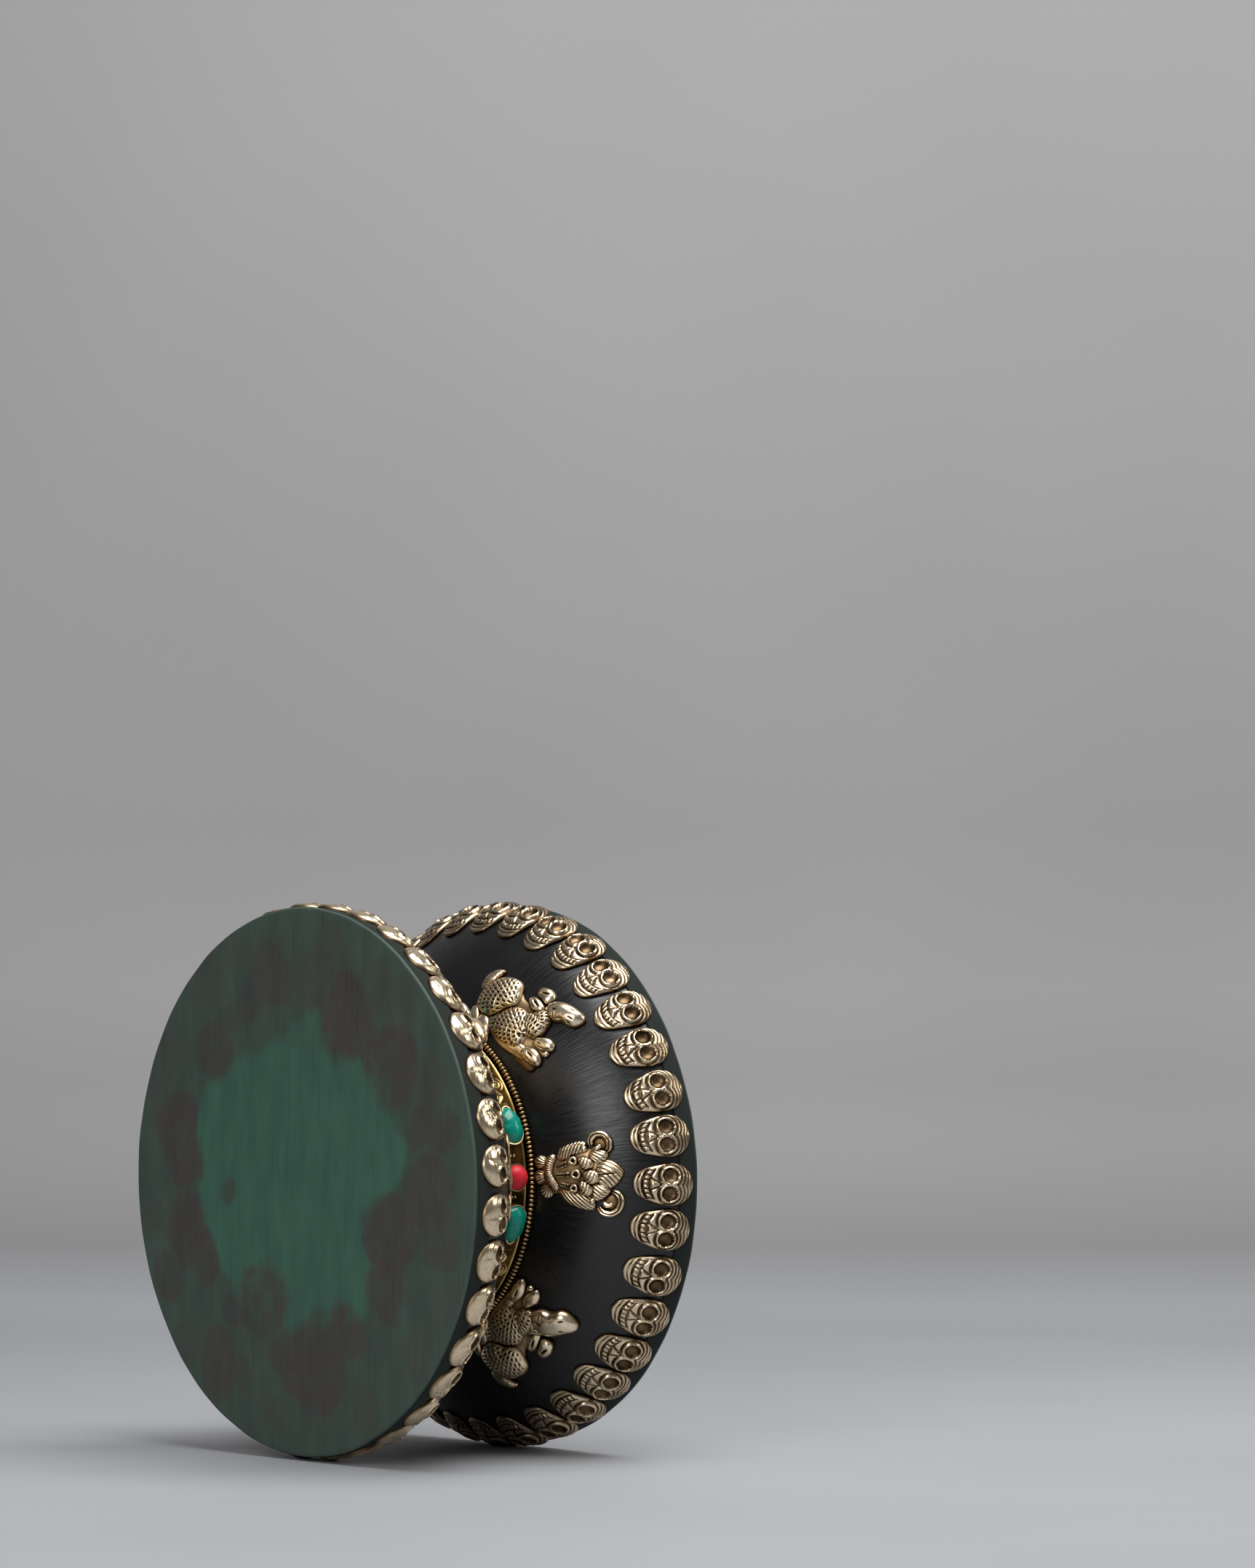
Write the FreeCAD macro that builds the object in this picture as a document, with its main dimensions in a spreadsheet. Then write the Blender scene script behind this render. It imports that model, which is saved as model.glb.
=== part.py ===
import FreeCAD, Part
import Sketcher
import math
import os
from FreeCAD import Vector

# Ritual hand drum (damaru) lying on its side. X is the drum's axis, Z points up, and the origin is the
# middle of the waist. Lengths are in millimetres and angles in degrees. An angle round the axis starts
# at the front (-Y) and grows upwards.

driving = [
    ("woodHalfLength", 59.2, "waist joint to wooden rim"),
    ("rimRadius", 114.2, "wooden rim, outside"),
    ("bowlDepth", 59.2, "half axis of the bowl's elliptic flank, along the drum"),
    ("rimWall", 6.0, "wall of the bowl at its rim"),
    ("cavityDepth", 46.0, "hollow of the bowl, from rim to bottom"),
    ("waistRadius", 64.6, "wooden waist under the metal band"),
    ("tenonRadius", 24.0, "sleeve that joins the two bowls"),
    ("tenonBore", 12.0, "radius of the air way through the sleeve"),
    ("fitGap", 0.05, "glue line between glued or pressed pieces"),
    ("overrun", 2.0, "how far a cutting shape runs past what it cuts"),
    ("skinThickness", 0.8, "stretched skin"),
    ("skinLap", 8.0, "skin glued down on the flank, measured along the drum"),
    ("bandThickness", 0.8, "sheet of the waist band"),
    ("bandSideGap", 0.35, "between the band's edge and the wood"),
    ("wireRadius", 1.65, "beaded wire on the band's edges"),
    ("wireSideGap", 0.2, "between the beaded wire and the wood"),
    ("skullLength", 26.2, "crown to chin"),
    ("skullInset", 2.4, "rim face to the crown, measured along the flank"),
    ("skullRelief", 4.0, "height of the brow above the wood"),
    ("skullSheet", 1.7, "height of the skull's edge above the wood"),
    ("eyeRadius", 2.9, "eye socket of a skull"),
    ("eyeRimRadius", 0.55, "raised ring round the eye socket"),
    ("animalLength", 50.0, "rump to snout"),
    ("animalRelief", 4.2, "height of the haunch above the wood"),
    ("upperAnimalInset", 54.0, "rim face to the upper animal's middle, measured along the flank"),
    ("lowerAnimalInset", 57.4, "rim face to the lower animal's middle, measured along the flank"),
    ("maskLength", 42.0, "base to crown tip"),
    ("maskRelief", 4.2, "height of the mask above the wood"),
    ("maskInset", 53.7, "rim face to the mask's middle, measured along the flank"),
    ("figureSheet", 1.5, "height of a figure's edge above the wood"),
    ("pearRadius", 5.6, "big end of a pear shaped stone"),
    ("pearTipRadius", 2.0, "small end of a pear shaped stone"),
    ("pearSpan", 8.6, "between the centres of the pear's two ends"),
    ("coralRadius", 5.3, "round stone"),
    ("stoneLift", 2.1, "flat back of a stone above the band"),
    ("bezelWall", 0.5, "collar round a stone"),
    ("bezelHeight", 3.4, "collar above the band"),
    ("lugThickness", 3.0, "ears for strap and striker cords, along the drum"),
    ("lugRadius", 4.6, "round head of the strap lug"),
    ("lugLift", 5.2, "strap lug's hole above the band"),
    ("ringWire", 1.5, "radius of the strap ring's wire"),
    ("ringRadius", 8.0, "strap ring, to the middle of its wire"),
    ("ringGap", 0.3, "play of the strap ring in its lug"),
    ("eyeLugRadius", 2.7, "round head of a striker cord's ear"),
    ("eyeLugLift", 4.6, "hole of a striker cord's ear above the band"),
    ("cordHole", 1.3, "radius of the hole for a striker cord"),
]

skullCount = 36
skullPhases = {"right": 0.0, "left": 5.0}
maskAngle = 2.3
upperAnimalAngle = 55.5
lowerAnimalAngle = -54.2
figureLean = 7.5
# the left upper animals lie lower, so that their snouts end between two skulls
figureShifts = {("animal_upper", "left"): -5.0}
stoneAngles = [2.0, 92.0, 182.0, 272.0]
pearAngles = [20.0, -18.0]
lugAngle = 228.0
cordEyeTurn = 8.0
ringRestAngle = 270.0

origin = Vector(0, 0, 0)
axisX = Vector(1, 0, 0)
axisY = Vector(0, 1, 0)
axisZ = Vector(0, 0, 1)

# Silhouettes and domes of the metal figures, as shares of the figure's length. The first value runs
# towards the rim, the second one round the drum.
skullOutlineShares = [
    (0.5, 0.0), (0.44, 0.19), (0.31, 0.31), (0.14, 0.352), (-0.02, 0.335), (-0.17, 0.292),
    (-0.31, 0.244), (-0.44, 0.16), (-0.5, 0.0), (-0.44, -0.16), (-0.31, -0.244), (-0.17, -0.292),
    (-0.02, -0.335), (0.14, -0.352), (0.31, -0.31), (0.44, -0.19),
]
skullDomeShares = [(0.15, 0.0, 0.33, 1.0), (-0.12, 0.0, 0.24, 0.92), (-0.32, 0.0, 0.16, 0.8)]
skullEyeShares = (0.124, 0.141, 0.76)
skullNoseShares = (-0.1, 0.042, 0.9)
animalOutlineShares = [
    (0.36, -0.52), (0.39, -0.42), (0.33, -0.3), (0.33, -0.18), (0.33, -0.08), (0.22, -0.11),
    (0.22, 0.0), (0.12, 0.02), (0.07, -0.09), (0.06, 0.03), (0.16, 0.12), (0.24, 0.28),
    (0.21, 0.4), (0.24, 0.44), (0.15, 0.51), (0.02, 0.49), (-0.06, 0.46), (-0.2, 0.46),
    (-0.34, 0.36), (-0.44, 0.2), (-0.4, 0.1), (-0.33, 0.13), (-0.32, 0.04), (-0.4, -0.04),
    (-0.38, -0.18), (-0.32, -0.34), (-0.25, -0.47), (-0.18, -0.47), (-0.14, -0.5), (0.0, -0.49),
    (0.02, -0.39), (-0.08, -0.3), (0.03, -0.27), (0.12, -0.34), (0.18, -0.47), (0.28, -0.54),
]
animalDomeShares = [
    (0.02, 0.27, 0.18, 1.0), (-0.1, 0.34, 0.14, 0.94), (-0.17, 0.04, 0.17, 0.94),
    (-0.12, -0.14, 0.17, 1.0), (0.02, -0.19, 0.09, 0.86), (0.22, -0.33, 0.1, 0.92),
    (0.29, -0.44, 0.075, 0.84), (0.13, -0.06, 0.05, 0.7), (0.26, -0.12, 0.05, 0.7),
    (-0.2, -0.38, 0.075, 0.76), (-0.05, -0.41, 0.07, 0.76), (-0.34, 0.2, 0.075, 0.7),
    (0.1, 0.46, 0.05, 0.7),
]
maskOutlineShares = [
    (0.5, 0.0), (0.41, 0.08), (0.36, 0.17), (0.33, 0.33), (0.22, 0.35), (0.2, 0.24),
    (0.1, 0.22), (0.0, 0.33), (-0.12, 0.33), (-0.2, 0.26), (-0.33, 0.27), (-0.37, 0.2),
    (-0.5, 0.18), (-0.54, 0.0), (-0.5, -0.18), (-0.37, -0.2), (-0.33, -0.27), (-0.2, -0.26),
    (-0.12, -0.33), (0.0, -0.33), (0.1, -0.22), (0.2, -0.24), (0.22, -0.35), (0.33, -0.33),
    (0.36, -0.17), (0.41, -0.08),
]
maskDomeShares = [
    (0.24, 0.0, 0.19, 0.95), (0.04, 0.0, 0.13, 1.0), (0.03, 0.12, 0.1, 0.92),
    (0.03, -0.12, 0.1, 0.92), (-0.13, 0.0, 0.07, 0.86), (-0.13, 0.13, 0.07, 0.86),
    (-0.13, -0.13, 0.07, 0.86), (-0.28, 0.09, 0.11, 0.9), (-0.28, -0.09, 0.11, 0.9),
    (-0.45, 0.11, 0.08, 0.76), (-0.46, 0.0, 0.08, 0.76), (-0.45, -0.11, 0.08, 0.76),
    (-0.07, 0.25, 0.07, 0.7), (-0.07, -0.25, 0.07, 0.7), (0.28, 0.29, 0.055, 0.7),
    (0.28, -0.29, 0.055, 0.7),
]


def makeSheet(doc):
    sheet = doc.addObject("Spreadsheet::Sheet", "Sizes")
    for row, (alias, value, note) in enumerate(driving, start=1):
        sheet.set("A%d" % row, alias)
        sheet.set("B%d" % row, str(value))
        sheet.set("C%d" % row, note)
        sheet.setAlias("B%d" % row, alias)
    doc.recompute()
    return sheet


def bind(thing, expressions):
    for name, text in expressions.items():
        thing.setExpression(name, text)
    return thing


def fromExpression(radius):
    # where the bowl's flank reaches a radius, measured along the drum from the waist joint
    return "(Sizes.woodHalfLength - Sizes.bowlDepth * sqrt(1 - pow((%s) / Sizes.rimRadius; 2)))" % radius


def standOnAxis(side):
    # turns local Z onto the drum's axis, away from the waist
    if side == "right":
        return FreeCAD.Placement(origin, FreeCAD.Rotation(axisY, 90))
    return FreeCAD.Placement(origin, FreeCAD.Rotation(axisY, -90))


bandTop = "Sizes.waistRadius + Sizes.fitGap + Sizes.bandThickness"
wireCentre = "(%s + Sizes.wireRadius)" % bandTop


def boolean(doc, kind, name, base, tool):
    result = doc.addObject(kind, name)
    result.Base = base
    result.Tool = tool
    return result


def flank(doc, name, depth, radius):
    # half of an ellipsoid that opens at the rim
    half = doc.addObject("Part::Ellipsoid", name)
    half.Angle1 = -90
    half.Angle2 = 0
    return bind(half, {"Radius1": depth, "Radius2": radius, "Placement.Base.z": "Sizes.woodHalfLength"})


def makeBowl(doc, side):
    name = "bowl_" + side
    outside = flank(doc, name + "_flank", "Sizes.bowlDepth", "Sizes.rimRadius")
    core = doc.addObject("Part::Cylinder", name + "_core")
    bind(core, {"Radius": "Sizes.waistRadius",
                "Height": fromExpression("Sizes.waistRadius") + " + Sizes.overrun"})
    blank = boolean(doc, "Part::Fuse", name + "_blank", outside, core)
    hollow = doc.addObject("Part::Ellipsoid", name + "_hollow")
    bind(hollow, {"Radius1": "Sizes.cavityDepth", "Radius2": "Sizes.rimRadius - Sizes.rimWall",
                  "Placement.Base.z": "Sizes.woodHalfLength"})
    turned = boolean(doc, "Part::Cut", name + "_turned", blank, hollow)
    bore = doc.addObject("Part::Cylinder", name + "_bore")
    bind(bore, {"Radius": "Sizes.tenonRadius + Sizes.fitGap",
                "Height": "Sizes.woodHalfLength + Sizes.overrun",
                "Placement.Base.z": "-Sizes.overrun"})
    bowl = boolean(doc, "Part::Cut", name, turned, bore)
    bowl.Placement = standOnAxis(side)
    return bowl


def flankArc(s, lift, start, end):
    # a stretch of the flank's outline in the XY plane, grown by a height
    depth = s.bowlDepth + lift
    radius = s.rimRadius + lift
    centre = axisX * s.woodHalfLength
    ellipse = Part.Ellipse(centre + axisY * radius, centre - axisX * depth, centre)
    turns = [math.asin((s.woodHalfLength - place) / depth) for place in (start, end)]
    return Part.ArcOfEllipse(ellipse, min(turns), max(turns)).toShape()


def makeHead(doc, s, side):
    # the skin lies flat over the rim, turns its edge and is glued down on the flank
    rim = s.woodHalfLength
    face = rim + s.skinThickness
    lapEnd = face - s.skinLap
    outer = flankArc(s, s.skinThickness, lapEnd, rim)
    inner = flankArc(s, s.fitGap, lapEnd, rim)
    outerEnd = outer.valueAt(outer.LastParameter)
    innerEnd = inner.valueAt(inner.LastParameter)
    corner = Vector(face, s.rimRadius, 0)
    bend = s.skinThickness * math.sqrt(0.5)
    middle = Vector(rim + bend, s.rimRadius + bend, 0)
    turnedEdge = Part.Arc(corner, middle, Vector(rim, s.rimRadius + s.skinThickness, 0))
    seam = Vector(rim, s.rimRadius + s.fitGap, 0)
    edges = [
        Part.makeLine(Vector(face, 0, 0), corner),
        turnedEdge.toShape(),
        outer,
        Part.makeLine(outerEnd, innerEnd),
        inner,
        Part.makeLine(seam, Vector(rim, 0, 0)),
        Part.makeLine(Vector(rim, 0, 0), Vector(face, 0, 0)),
    ]
    profile = Part.Face(Part.Wire(Part.__sortEdges__(edges)))
    skin = profile.revolve(origin, axisX, 360)
    return addNode(doc, "head_" + side, [sided(skin, side)])


def originPlane(body, role):
    return [plane for plane in body.Origin.OriginFeatures if plane.Role == role][0]


def newSketch(body, name):
    sketch = body.newObject("Sketcher::SketchObject", name)
    sketch.AttachmentSupport = [(originPlane(body, "XY_Plane"), "")]
    sketch.MapMode = "FlatFace"
    return sketch


def circleInSketch(sketch, expression, name):
    # a unit circle round the sketch's origin, which the expression then sizes
    circle = sketch.addGeometry(Part.Circle(origin, axisZ, 1), False)
    sketch.addConstraint(Sketcher.Constraint("Coincident", circle, 3, -1, 1))
    sketch.addConstraint(Sketcher.Constraint("Radius", circle, 1))
    sketch.renameConstraint(sketch.ConstraintCount - 1, name)
    sketch.setExpression("Constraints." + name, expression)


def makeSleeve(doc, name, outer, inner, length):
    # a turned sleeve centred on the waist
    body = doc.addObject("PartDesign::Body", name)
    sketch = newSketch(body, name + "_profile")
    circleInSketch(sketch, outer, "outer")
    circleInSketch(sketch, inner, "inner")
    pad = body.newObject("PartDesign::Pad", name + "_pad")
    pad.Profile = sketch
    pad.SideType = "Symmetric"
    pad.setExpression("Length", length)
    sketch.Visibility = False
    body.Placement = standOnAxis("right")
    return body


def makeWire(doc, side):
    name = "beaded_wire_" + side
    wire = doc.addObject("Part::Torus", name)
    offset = "%s - Sizes.wireRadius - Sizes.wireSideGap" % fromExpression(wireCentre)
    sign = "" if side == "right" else "-"
    bind(wire, {"Radius1": wireCentre, "Radius2": "Sizes.wireRadius",
                "Placement.Base.x": "%s(%s)" % (sign, offset)})
    wire.Placement.Rotation = FreeCAD.Rotation(axisY, 90)
    return wire


def makeLug(doc, name, angle, head, lift, hole):
    # an ear on the waist band, a straight neck with a round head, whose hole runs along the drum
    neck = doc.addObject("Part::Box", name + "_neck")
    height = "%s + %s" % (bandTop, lift)
    bind(neck, {"Length": "Sizes.lugThickness", "Width": "2 * " + head, "Height": height,
                "Placement.Base.x": "-Sizes.lugThickness / 2", "Placement.Base.y": "-" + head})
    knob = doc.addObject("Part::Cylinder", name + "_knob")
    bind(knob, {"Radius": head, "Height": "Sizes.lugThickness",
                "Placement.Base.x": "-Sizes.lugThickness / 2", "Placement.Base.z": height})
    knob.Placement.Rotation = FreeCAD.Rotation(axisY, 90)
    solid = boolean(doc, "Part::Fuse", name + "_solid", neck, knob)
    bore = doc.addObject("Part::Cylinder", name + "_bore")
    bind(bore, {"Radius": hole, "Height": "Sizes.lugThickness + 2 * Sizes.overrun",
                "Placement.Base.x": "-Sizes.lugThickness / 2 - Sizes.overrun", "Placement.Base.z": height})
    bore.Placement.Rotation = FreeCAD.Rotation(axisY, 90)
    drilled = boolean(doc, "Part::Cut", name + "_drilled", solid, bore)
    band = doc.addObject("Part::Cylinder", name + "_band")
    bind(band, {"Radius": bandTop + " + Sizes.fitGap", "Height": "2 * Sizes.woodHalfLength",
                "Placement.Base.x": "-Sizes.woodHalfLength"})
    band.Placement.Rotation = FreeCAD.Rotation(axisY, 90)
    lug = boolean(doc, "Part::Cut", name, drilled, band)
    lug.Placement = FreeCAD.Placement(origin, FreeCAD.Rotation(axisX, 90 - angle))
    return lug, drilled


def makeRing(doc, s):
    # the loose strap ring hangs from its lug
    radius = s.waistRadius + s.fitGap + s.bandThickness + s.lugLift
    ring = doc.addObject("Part::Torus", "strap_ring")
    bind(ring, {"Radius1": "Sizes.ringRadius", "Radius2": "Sizes.ringWire"})
    hole = around(radius, lugAngle)
    hang = around(s.ringRadius, ringRestAngle)
    ring.Placement = FreeCAD.Placement(hole + hang, FreeCAD.Rotation(axisX, 90))
    return ring


def around(radius, angle):
    turn = math.radians(angle)
    return Vector(0, -radius * math.cos(turn), radius * math.sin(turn))


def onFlank(s, inset, angle):
    # the point, outward normal, rimward and upward directions at a distance from the rim face along
    # the wooden flank
    steps = 80
    step = inset / steps
    turn = 0.0
    for count in range(steps):
        half = turn + step / 2 / math.hypot(s.bowlDepth * math.cos(turn), s.rimRadius * math.sin(turn))
        turn += step / math.hypot(s.bowlDepth * math.cos(half), s.rimRadius * math.sin(half))
    across = s.bowlDepth * math.cos(turn)
    out = s.rimRadius * math.sin(turn)
    speed = math.hypot(across, out)
    radial = around(1, angle)
    place = axisX * (s.woodHalfLength - s.bowlDepth * math.sin(turn)) + radial * s.rimRadius * math.cos(turn)
    rimward = (axisX * across + radial * out) / speed
    normal = (radial * across - axisX * out) / speed
    upward = around(1, angle + 90)
    return place, normal, rimward, upward


class Relief:
    # an embossed metal figure: a thin sheet with the figure's silhouette and domes that stand out of it

    def __init__(self, s, inset, angle, lean, length, relief):
        self.s = s
        self.inset = inset
        self.angle = angle
        self.length = length
        self.relief = relief
        self.cosine = math.cos(math.radians(lean))
        self.sine = math.sin(math.radians(lean))
        self.place, self.normal, self.rimward, self.upward = onFlank(s, inset, angle)

    def leaned(self, rimShare, roundShare):
        along = (rimShare * self.cosine - roundShare * self.sine) * self.length
        beside = (rimShare * self.sine + roundShare * self.cosine) * self.length
        return along, beside

    def spot(self, rimShare, roundShare):
        # the foot and the outward normal of a point of the figure
        along, beside = self.leaned(rimShare, roundShare)
        place = onFlank(self.s, self.inset - along, self.angle)[0]
        radius = math.hypot(place.y, place.z)
        return onFlank(self.s, self.inset - along, self.angle + math.degrees(beside / radius))[:2]

    def sheet(self, shares, height):
        points = []
        for rimShare, roundShare in shares:
            along, beside = self.leaned(rimShare, roundShare)
            points.append(self.place + self.rimward * along + self.upward * beside)
        curve = Part.BSplineCurve()
        curve.interpolate(points, PeriodicFlag=True)
        face = Part.Face(Part.Wire([curve.toShape()]))
        face.translate(self.normal * -self.length / 2)
        prism = face.extrude(self.normal * self.length)
        limit = ellipsoid(self.s, height)
        return prism.common(limit)

    def dome(self, rimShare, roundShare, wideShare, highShare):
        place, normal = self.spot(rimShare, roundShare)
        foot = wideShare * self.length
        high = highShare * self.relief
        radius = (foot * foot + high * high) / 2 / high
        return Part.makeSphere(radius, place + normal * (high - radius), normal)

    def domes(self, shares):
        return [self.dome(*share) for share in shares]


def ellipsoid(s, lift):
    # the whole flank of the right bowl, grown by a height
    grow = FreeCAD.Matrix()
    grow.A11 = s.bowlDepth + lift
    grow.A22 = s.rimRadius + lift
    grow.A33 = s.rimRadius + lift
    shape = Part.makeSphere(1, origin, axisX).transformGeometry(grow)
    shape.translate(axisX * s.woodHalfLength)
    return shape


def makeSeat(s):
    # everything that a figure on the right bowl has to clear: wood, skin lap and beaded wire
    wood = ellipsoid(s, s.fitGap)
    lapStart = s.woodHalfLength + s.skinThickness - s.skinLap - s.fitGap
    slab = Part.makeCylinder(s.rimRadius + s.skinThickness + s.overrun, s.skinLap * 2,
                             axisX * lapStart, axisX)
    lap = ellipsoid(s, s.skinThickness + s.fitGap).common(slab)
    wireRing = s.waistRadius + s.fitGap + s.bandThickness + s.wireRadius
    flankShare = math.sqrt(1 - (wireRing / s.rimRadius) ** 2)
    wireEdge = s.woodHalfLength - s.bowlDepth * flankShare
    collar = Part.makeCylinder(wireRing + s.wireRadius + s.wireSideGap, wireEdge, origin, axisX)
    return wood.fuse([lap, collar])


def skullShape(s, seat):
    inset = s.skullInset + s.skullLength / 2
    relief = Relief(s, inset, 0, 0, s.skullLength, s.skullRelief)
    shape = relief.sheet(skullOutlineShares, s.skullSheet).fuse(relief.domes(skullDomeShares))
    along, beside, high = skullEyeShares
    for side in (-1, 1):
        place, normal = relief.spot(along, side * beside)
        centre = place + normal * high * s.skullRelief
        rim = Part.makeTorus(s.eyeRadius, s.eyeRimRadius, centre, normal)
        shape = shape.fuse(rim).cut(Part.makeSphere(s.eyeRadius, centre + normal * s.eyeRimRadius))
    noseAlong, noseWide, noseHigh = skullNoseShares
    place, normal = relief.spot(noseAlong, 0)
    nostril = Part.makeSphere(noseWide * s.skullLength, place + normal * noseHigh * s.skullRelief)
    return mainSolid(shape.cut(nostril).cut(seat))


def mainSolid(shape):
    # a cut can leave crumbs under the seat: the figure is the largest solid
    return max(shape.Solids, key=lambda solid: solid.Volume)


def animalShape(s, seat, upper):
    # a lying animal with its head turned back; the lower one mirrors the upper one
    side = 1 if upper else -1
    inset = s.upperAnimalInset if upper else s.lowerAnimalInset
    angle = upperAnimalAngle if upper else lowerAnimalAngle
    relief = Relief(s, inset, angle, figureLean, s.animalLength, s.animalRelief)
    outline = [(along, side * beside) for along, beside in animalOutlineShares]
    domes = []
    for along, beside, wide, high in animalDomeShares:
        domes.append(relief.dome(along, side * beside, wide, high))
    return mainSolid(relief.sheet(outline, s.figureSheet).fuse(domes).cut(seat))


def maskShape(s, seat):
    relief = Relief(s, s.maskInset, maskAngle, figureLean, s.maskLength, s.maskRelief)
    sheet = relief.sheet(maskOutlineShares, s.figureSheet)
    return mainSolid(sheet.fuse(relief.domes(maskDomeShares)).cut(seat))


def turned(shape, angle):
    copy = shape.copy()
    copy.rotate(origin, axisX, -angle)
    return copy


def sided(shape, side):
    if side == "right":
        return shape
    return shape.mirror(origin, axisX)


def addNode(doc, name, shapes):
    node = doc.addObject("Part::Feature", name)
    shape = shapes[0] if len(shapes) == 1 else Part.makeCompound(shapes)
    node.Shape = shape
    node.Placement = shape.Placement
    return node


def makeSkulls(doc, s, seat):
    skull = skullShape(s, seat)
    pitch = 360 / skullCount
    nodes = []
    for side, phase in skullPhases.items():
        ring = [turned(sided(skull, side), phase + count * pitch) for count in range(skullCount)]
        nodes.append(addNode(doc, "skulls_" + side, ring))
    return nodes


def makeFigures(doc, s, seat):
    masters = {
        "animal_upper": animalShape(s, seat, True),
        "mask": maskShape(s, seat),
        "animal_lower": animalShape(s, seat, False),
    }
    nodes = []
    for side in ("right", "left"):
        for place, angle in (("front", 0), ("back", 180)):
            for kind, master in masters.items():
                name = "%s_%s_%s" % (kind, side, place)
                turn = angle + figureShifts.get((kind, side), 0)
                nodes.append(addNode(doc, name, [turned(sided(master, side), turn)]))
    return nodes


def pearEnds(s):
    # heights of the two ends' centres, and how the straight sides lean between them
    lean = (s.pearRadius - s.pearTipRadius) / s.pearSpan
    rise = math.sqrt(1 - lean * lean)
    bigZ = -s.pearSpan / 2
    tipZ = s.pearSpan / 2
    return bigZ, tipZ, lean, rise


def pearOutline(s, grow):
    # two round ends joined by straight sides, in the plane that touches the band at the front
    big = s.pearRadius + grow
    tip = s.pearTipRadius + grow
    bigZ, tipZ, lean, rise = pearEnds(s)
    left = [Vector(-big * rise, 0, bigZ + big * lean), Vector(-tip * rise, 0, tipZ + tip * lean)]
    right = [Vector(big * rise, 0, bigZ + big * lean), Vector(tip * rise, 0, tipZ + tip * lean)]
    bottom = Part.Arc(left[0], Vector(0, 0, bigZ - big), right[0])
    top = Part.Arc(right[1], Vector(0, 0, tipZ + tip), left[1])
    sides = [Part.makeLine(right[0], right[1]), Part.makeLine(left[1], left[0])]
    return Part.Face(Part.Wire([bottom.toShape(), sides[0], top.toShape(), sides[1]]))


def cutToBand(s, shape):
    radius = s.waistRadius + s.fitGap + s.bandThickness + s.fitGap
    return shape.cut(Part.makeCylinder(radius, s.woodHalfLength * 2, axisX * -s.woodHalfLength, axisX))


def pearStone(s):
    # the hull of two balls, cut flat at the back
    bigZ, tipZ, lean, rise = pearEnds(s)
    lift = s.waistRadius + s.fitGap + s.bandThickness + s.stoneLift
    big = Vector(0, -lift, bigZ)
    tip = Vector(0, -lift, tipZ)
    start = big + axisZ * s.pearRadius * lean
    length = s.pearSpan + (s.pearTipRadius - s.pearRadius) * lean
    taper = Part.makeCone(s.pearRadius * rise, s.pearTipRadius * rise, length, start, axisZ)
    hull = Part.makeSphere(s.pearRadius, big).fuse([taper, Part.makeSphere(s.pearTipRadius, tip)])
    reach = s.pearRadius + s.pearSpan
    back = Part.makeBox(reach * 2, reach, reach * 2, Vector(-reach, -lift, bigZ - reach))
    return hull.cut(back)


def pearBezel(s):
    outer = pearOutline(s, s.fitGap + s.bezelWall)
    inner = pearOutline(s, s.fitGap)
    base = s.waistRadius + s.fitGap + s.bandThickness
    high = base + s.bezelHeight
    wall = outer.extrude(axisY * high).cut(inner.extrude(axisY * high))
    wall.translate(axisY * -high)
    return cutToBand(s, wall)


def coralStone(s):
    lift = s.waistRadius + s.fitGap + s.bandThickness + s.stoneLift
    ball = Part.makeSphere(s.coralRadius, axisY * -lift)
    reach = s.coralRadius * 2
    return ball.cut(Part.makeBox(reach * 2, reach, reach * 2, Vector(-reach, -lift, -reach)))


def coralBezel(s):
    outer = s.coralRadius + s.fitGap + s.bezelWall
    high = s.waistRadius + s.fitGap + s.bandThickness + s.bezelHeight
    wall = Part.makeCylinder(outer, high, axisY * -high, axisY)
    return cutToBand(s, wall.cut(Part.makeCylinder(outer - s.bezelWall, high, axisY * -high, axisY)))


def makeStones(doc, s):
    # at each place a coral between two pears whose tips point away from it
    nodes = []
    for name, shape in (("turquoise_stones", pearStone(s)), ("turquoise_bezels", pearBezel(s))):
        flipped = shape.mirror(origin, axisZ)
        pears = []
        for angle in stoneAngles:
            for offset in pearAngles:
                pears.append(turned(shape if offset > 0 else flipped, angle + offset))
        nodes.append(addNode(doc, name, pears))
    for name, shape in (("coral_stones", coralStone(s)), ("coral_bezels", coralBezel(s))):
        nodes.append(addNode(doc, name, [turned(shape, angle) for angle in stoneAngles]))
    return nodes


def makeCordEye(doc, name, angle):
    # the same ear turned a quarter, so that its hole runs round the drum, away from the strap ring
    eye, drilled = makeLug(doc, name, angle, "Sizes.eyeLugRadius", "Sizes.eyeLugLift", "Sizes.cordHole")
    drilled.Placement.Rotation = FreeCAD.Rotation(axisZ, 90)
    return eye


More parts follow.
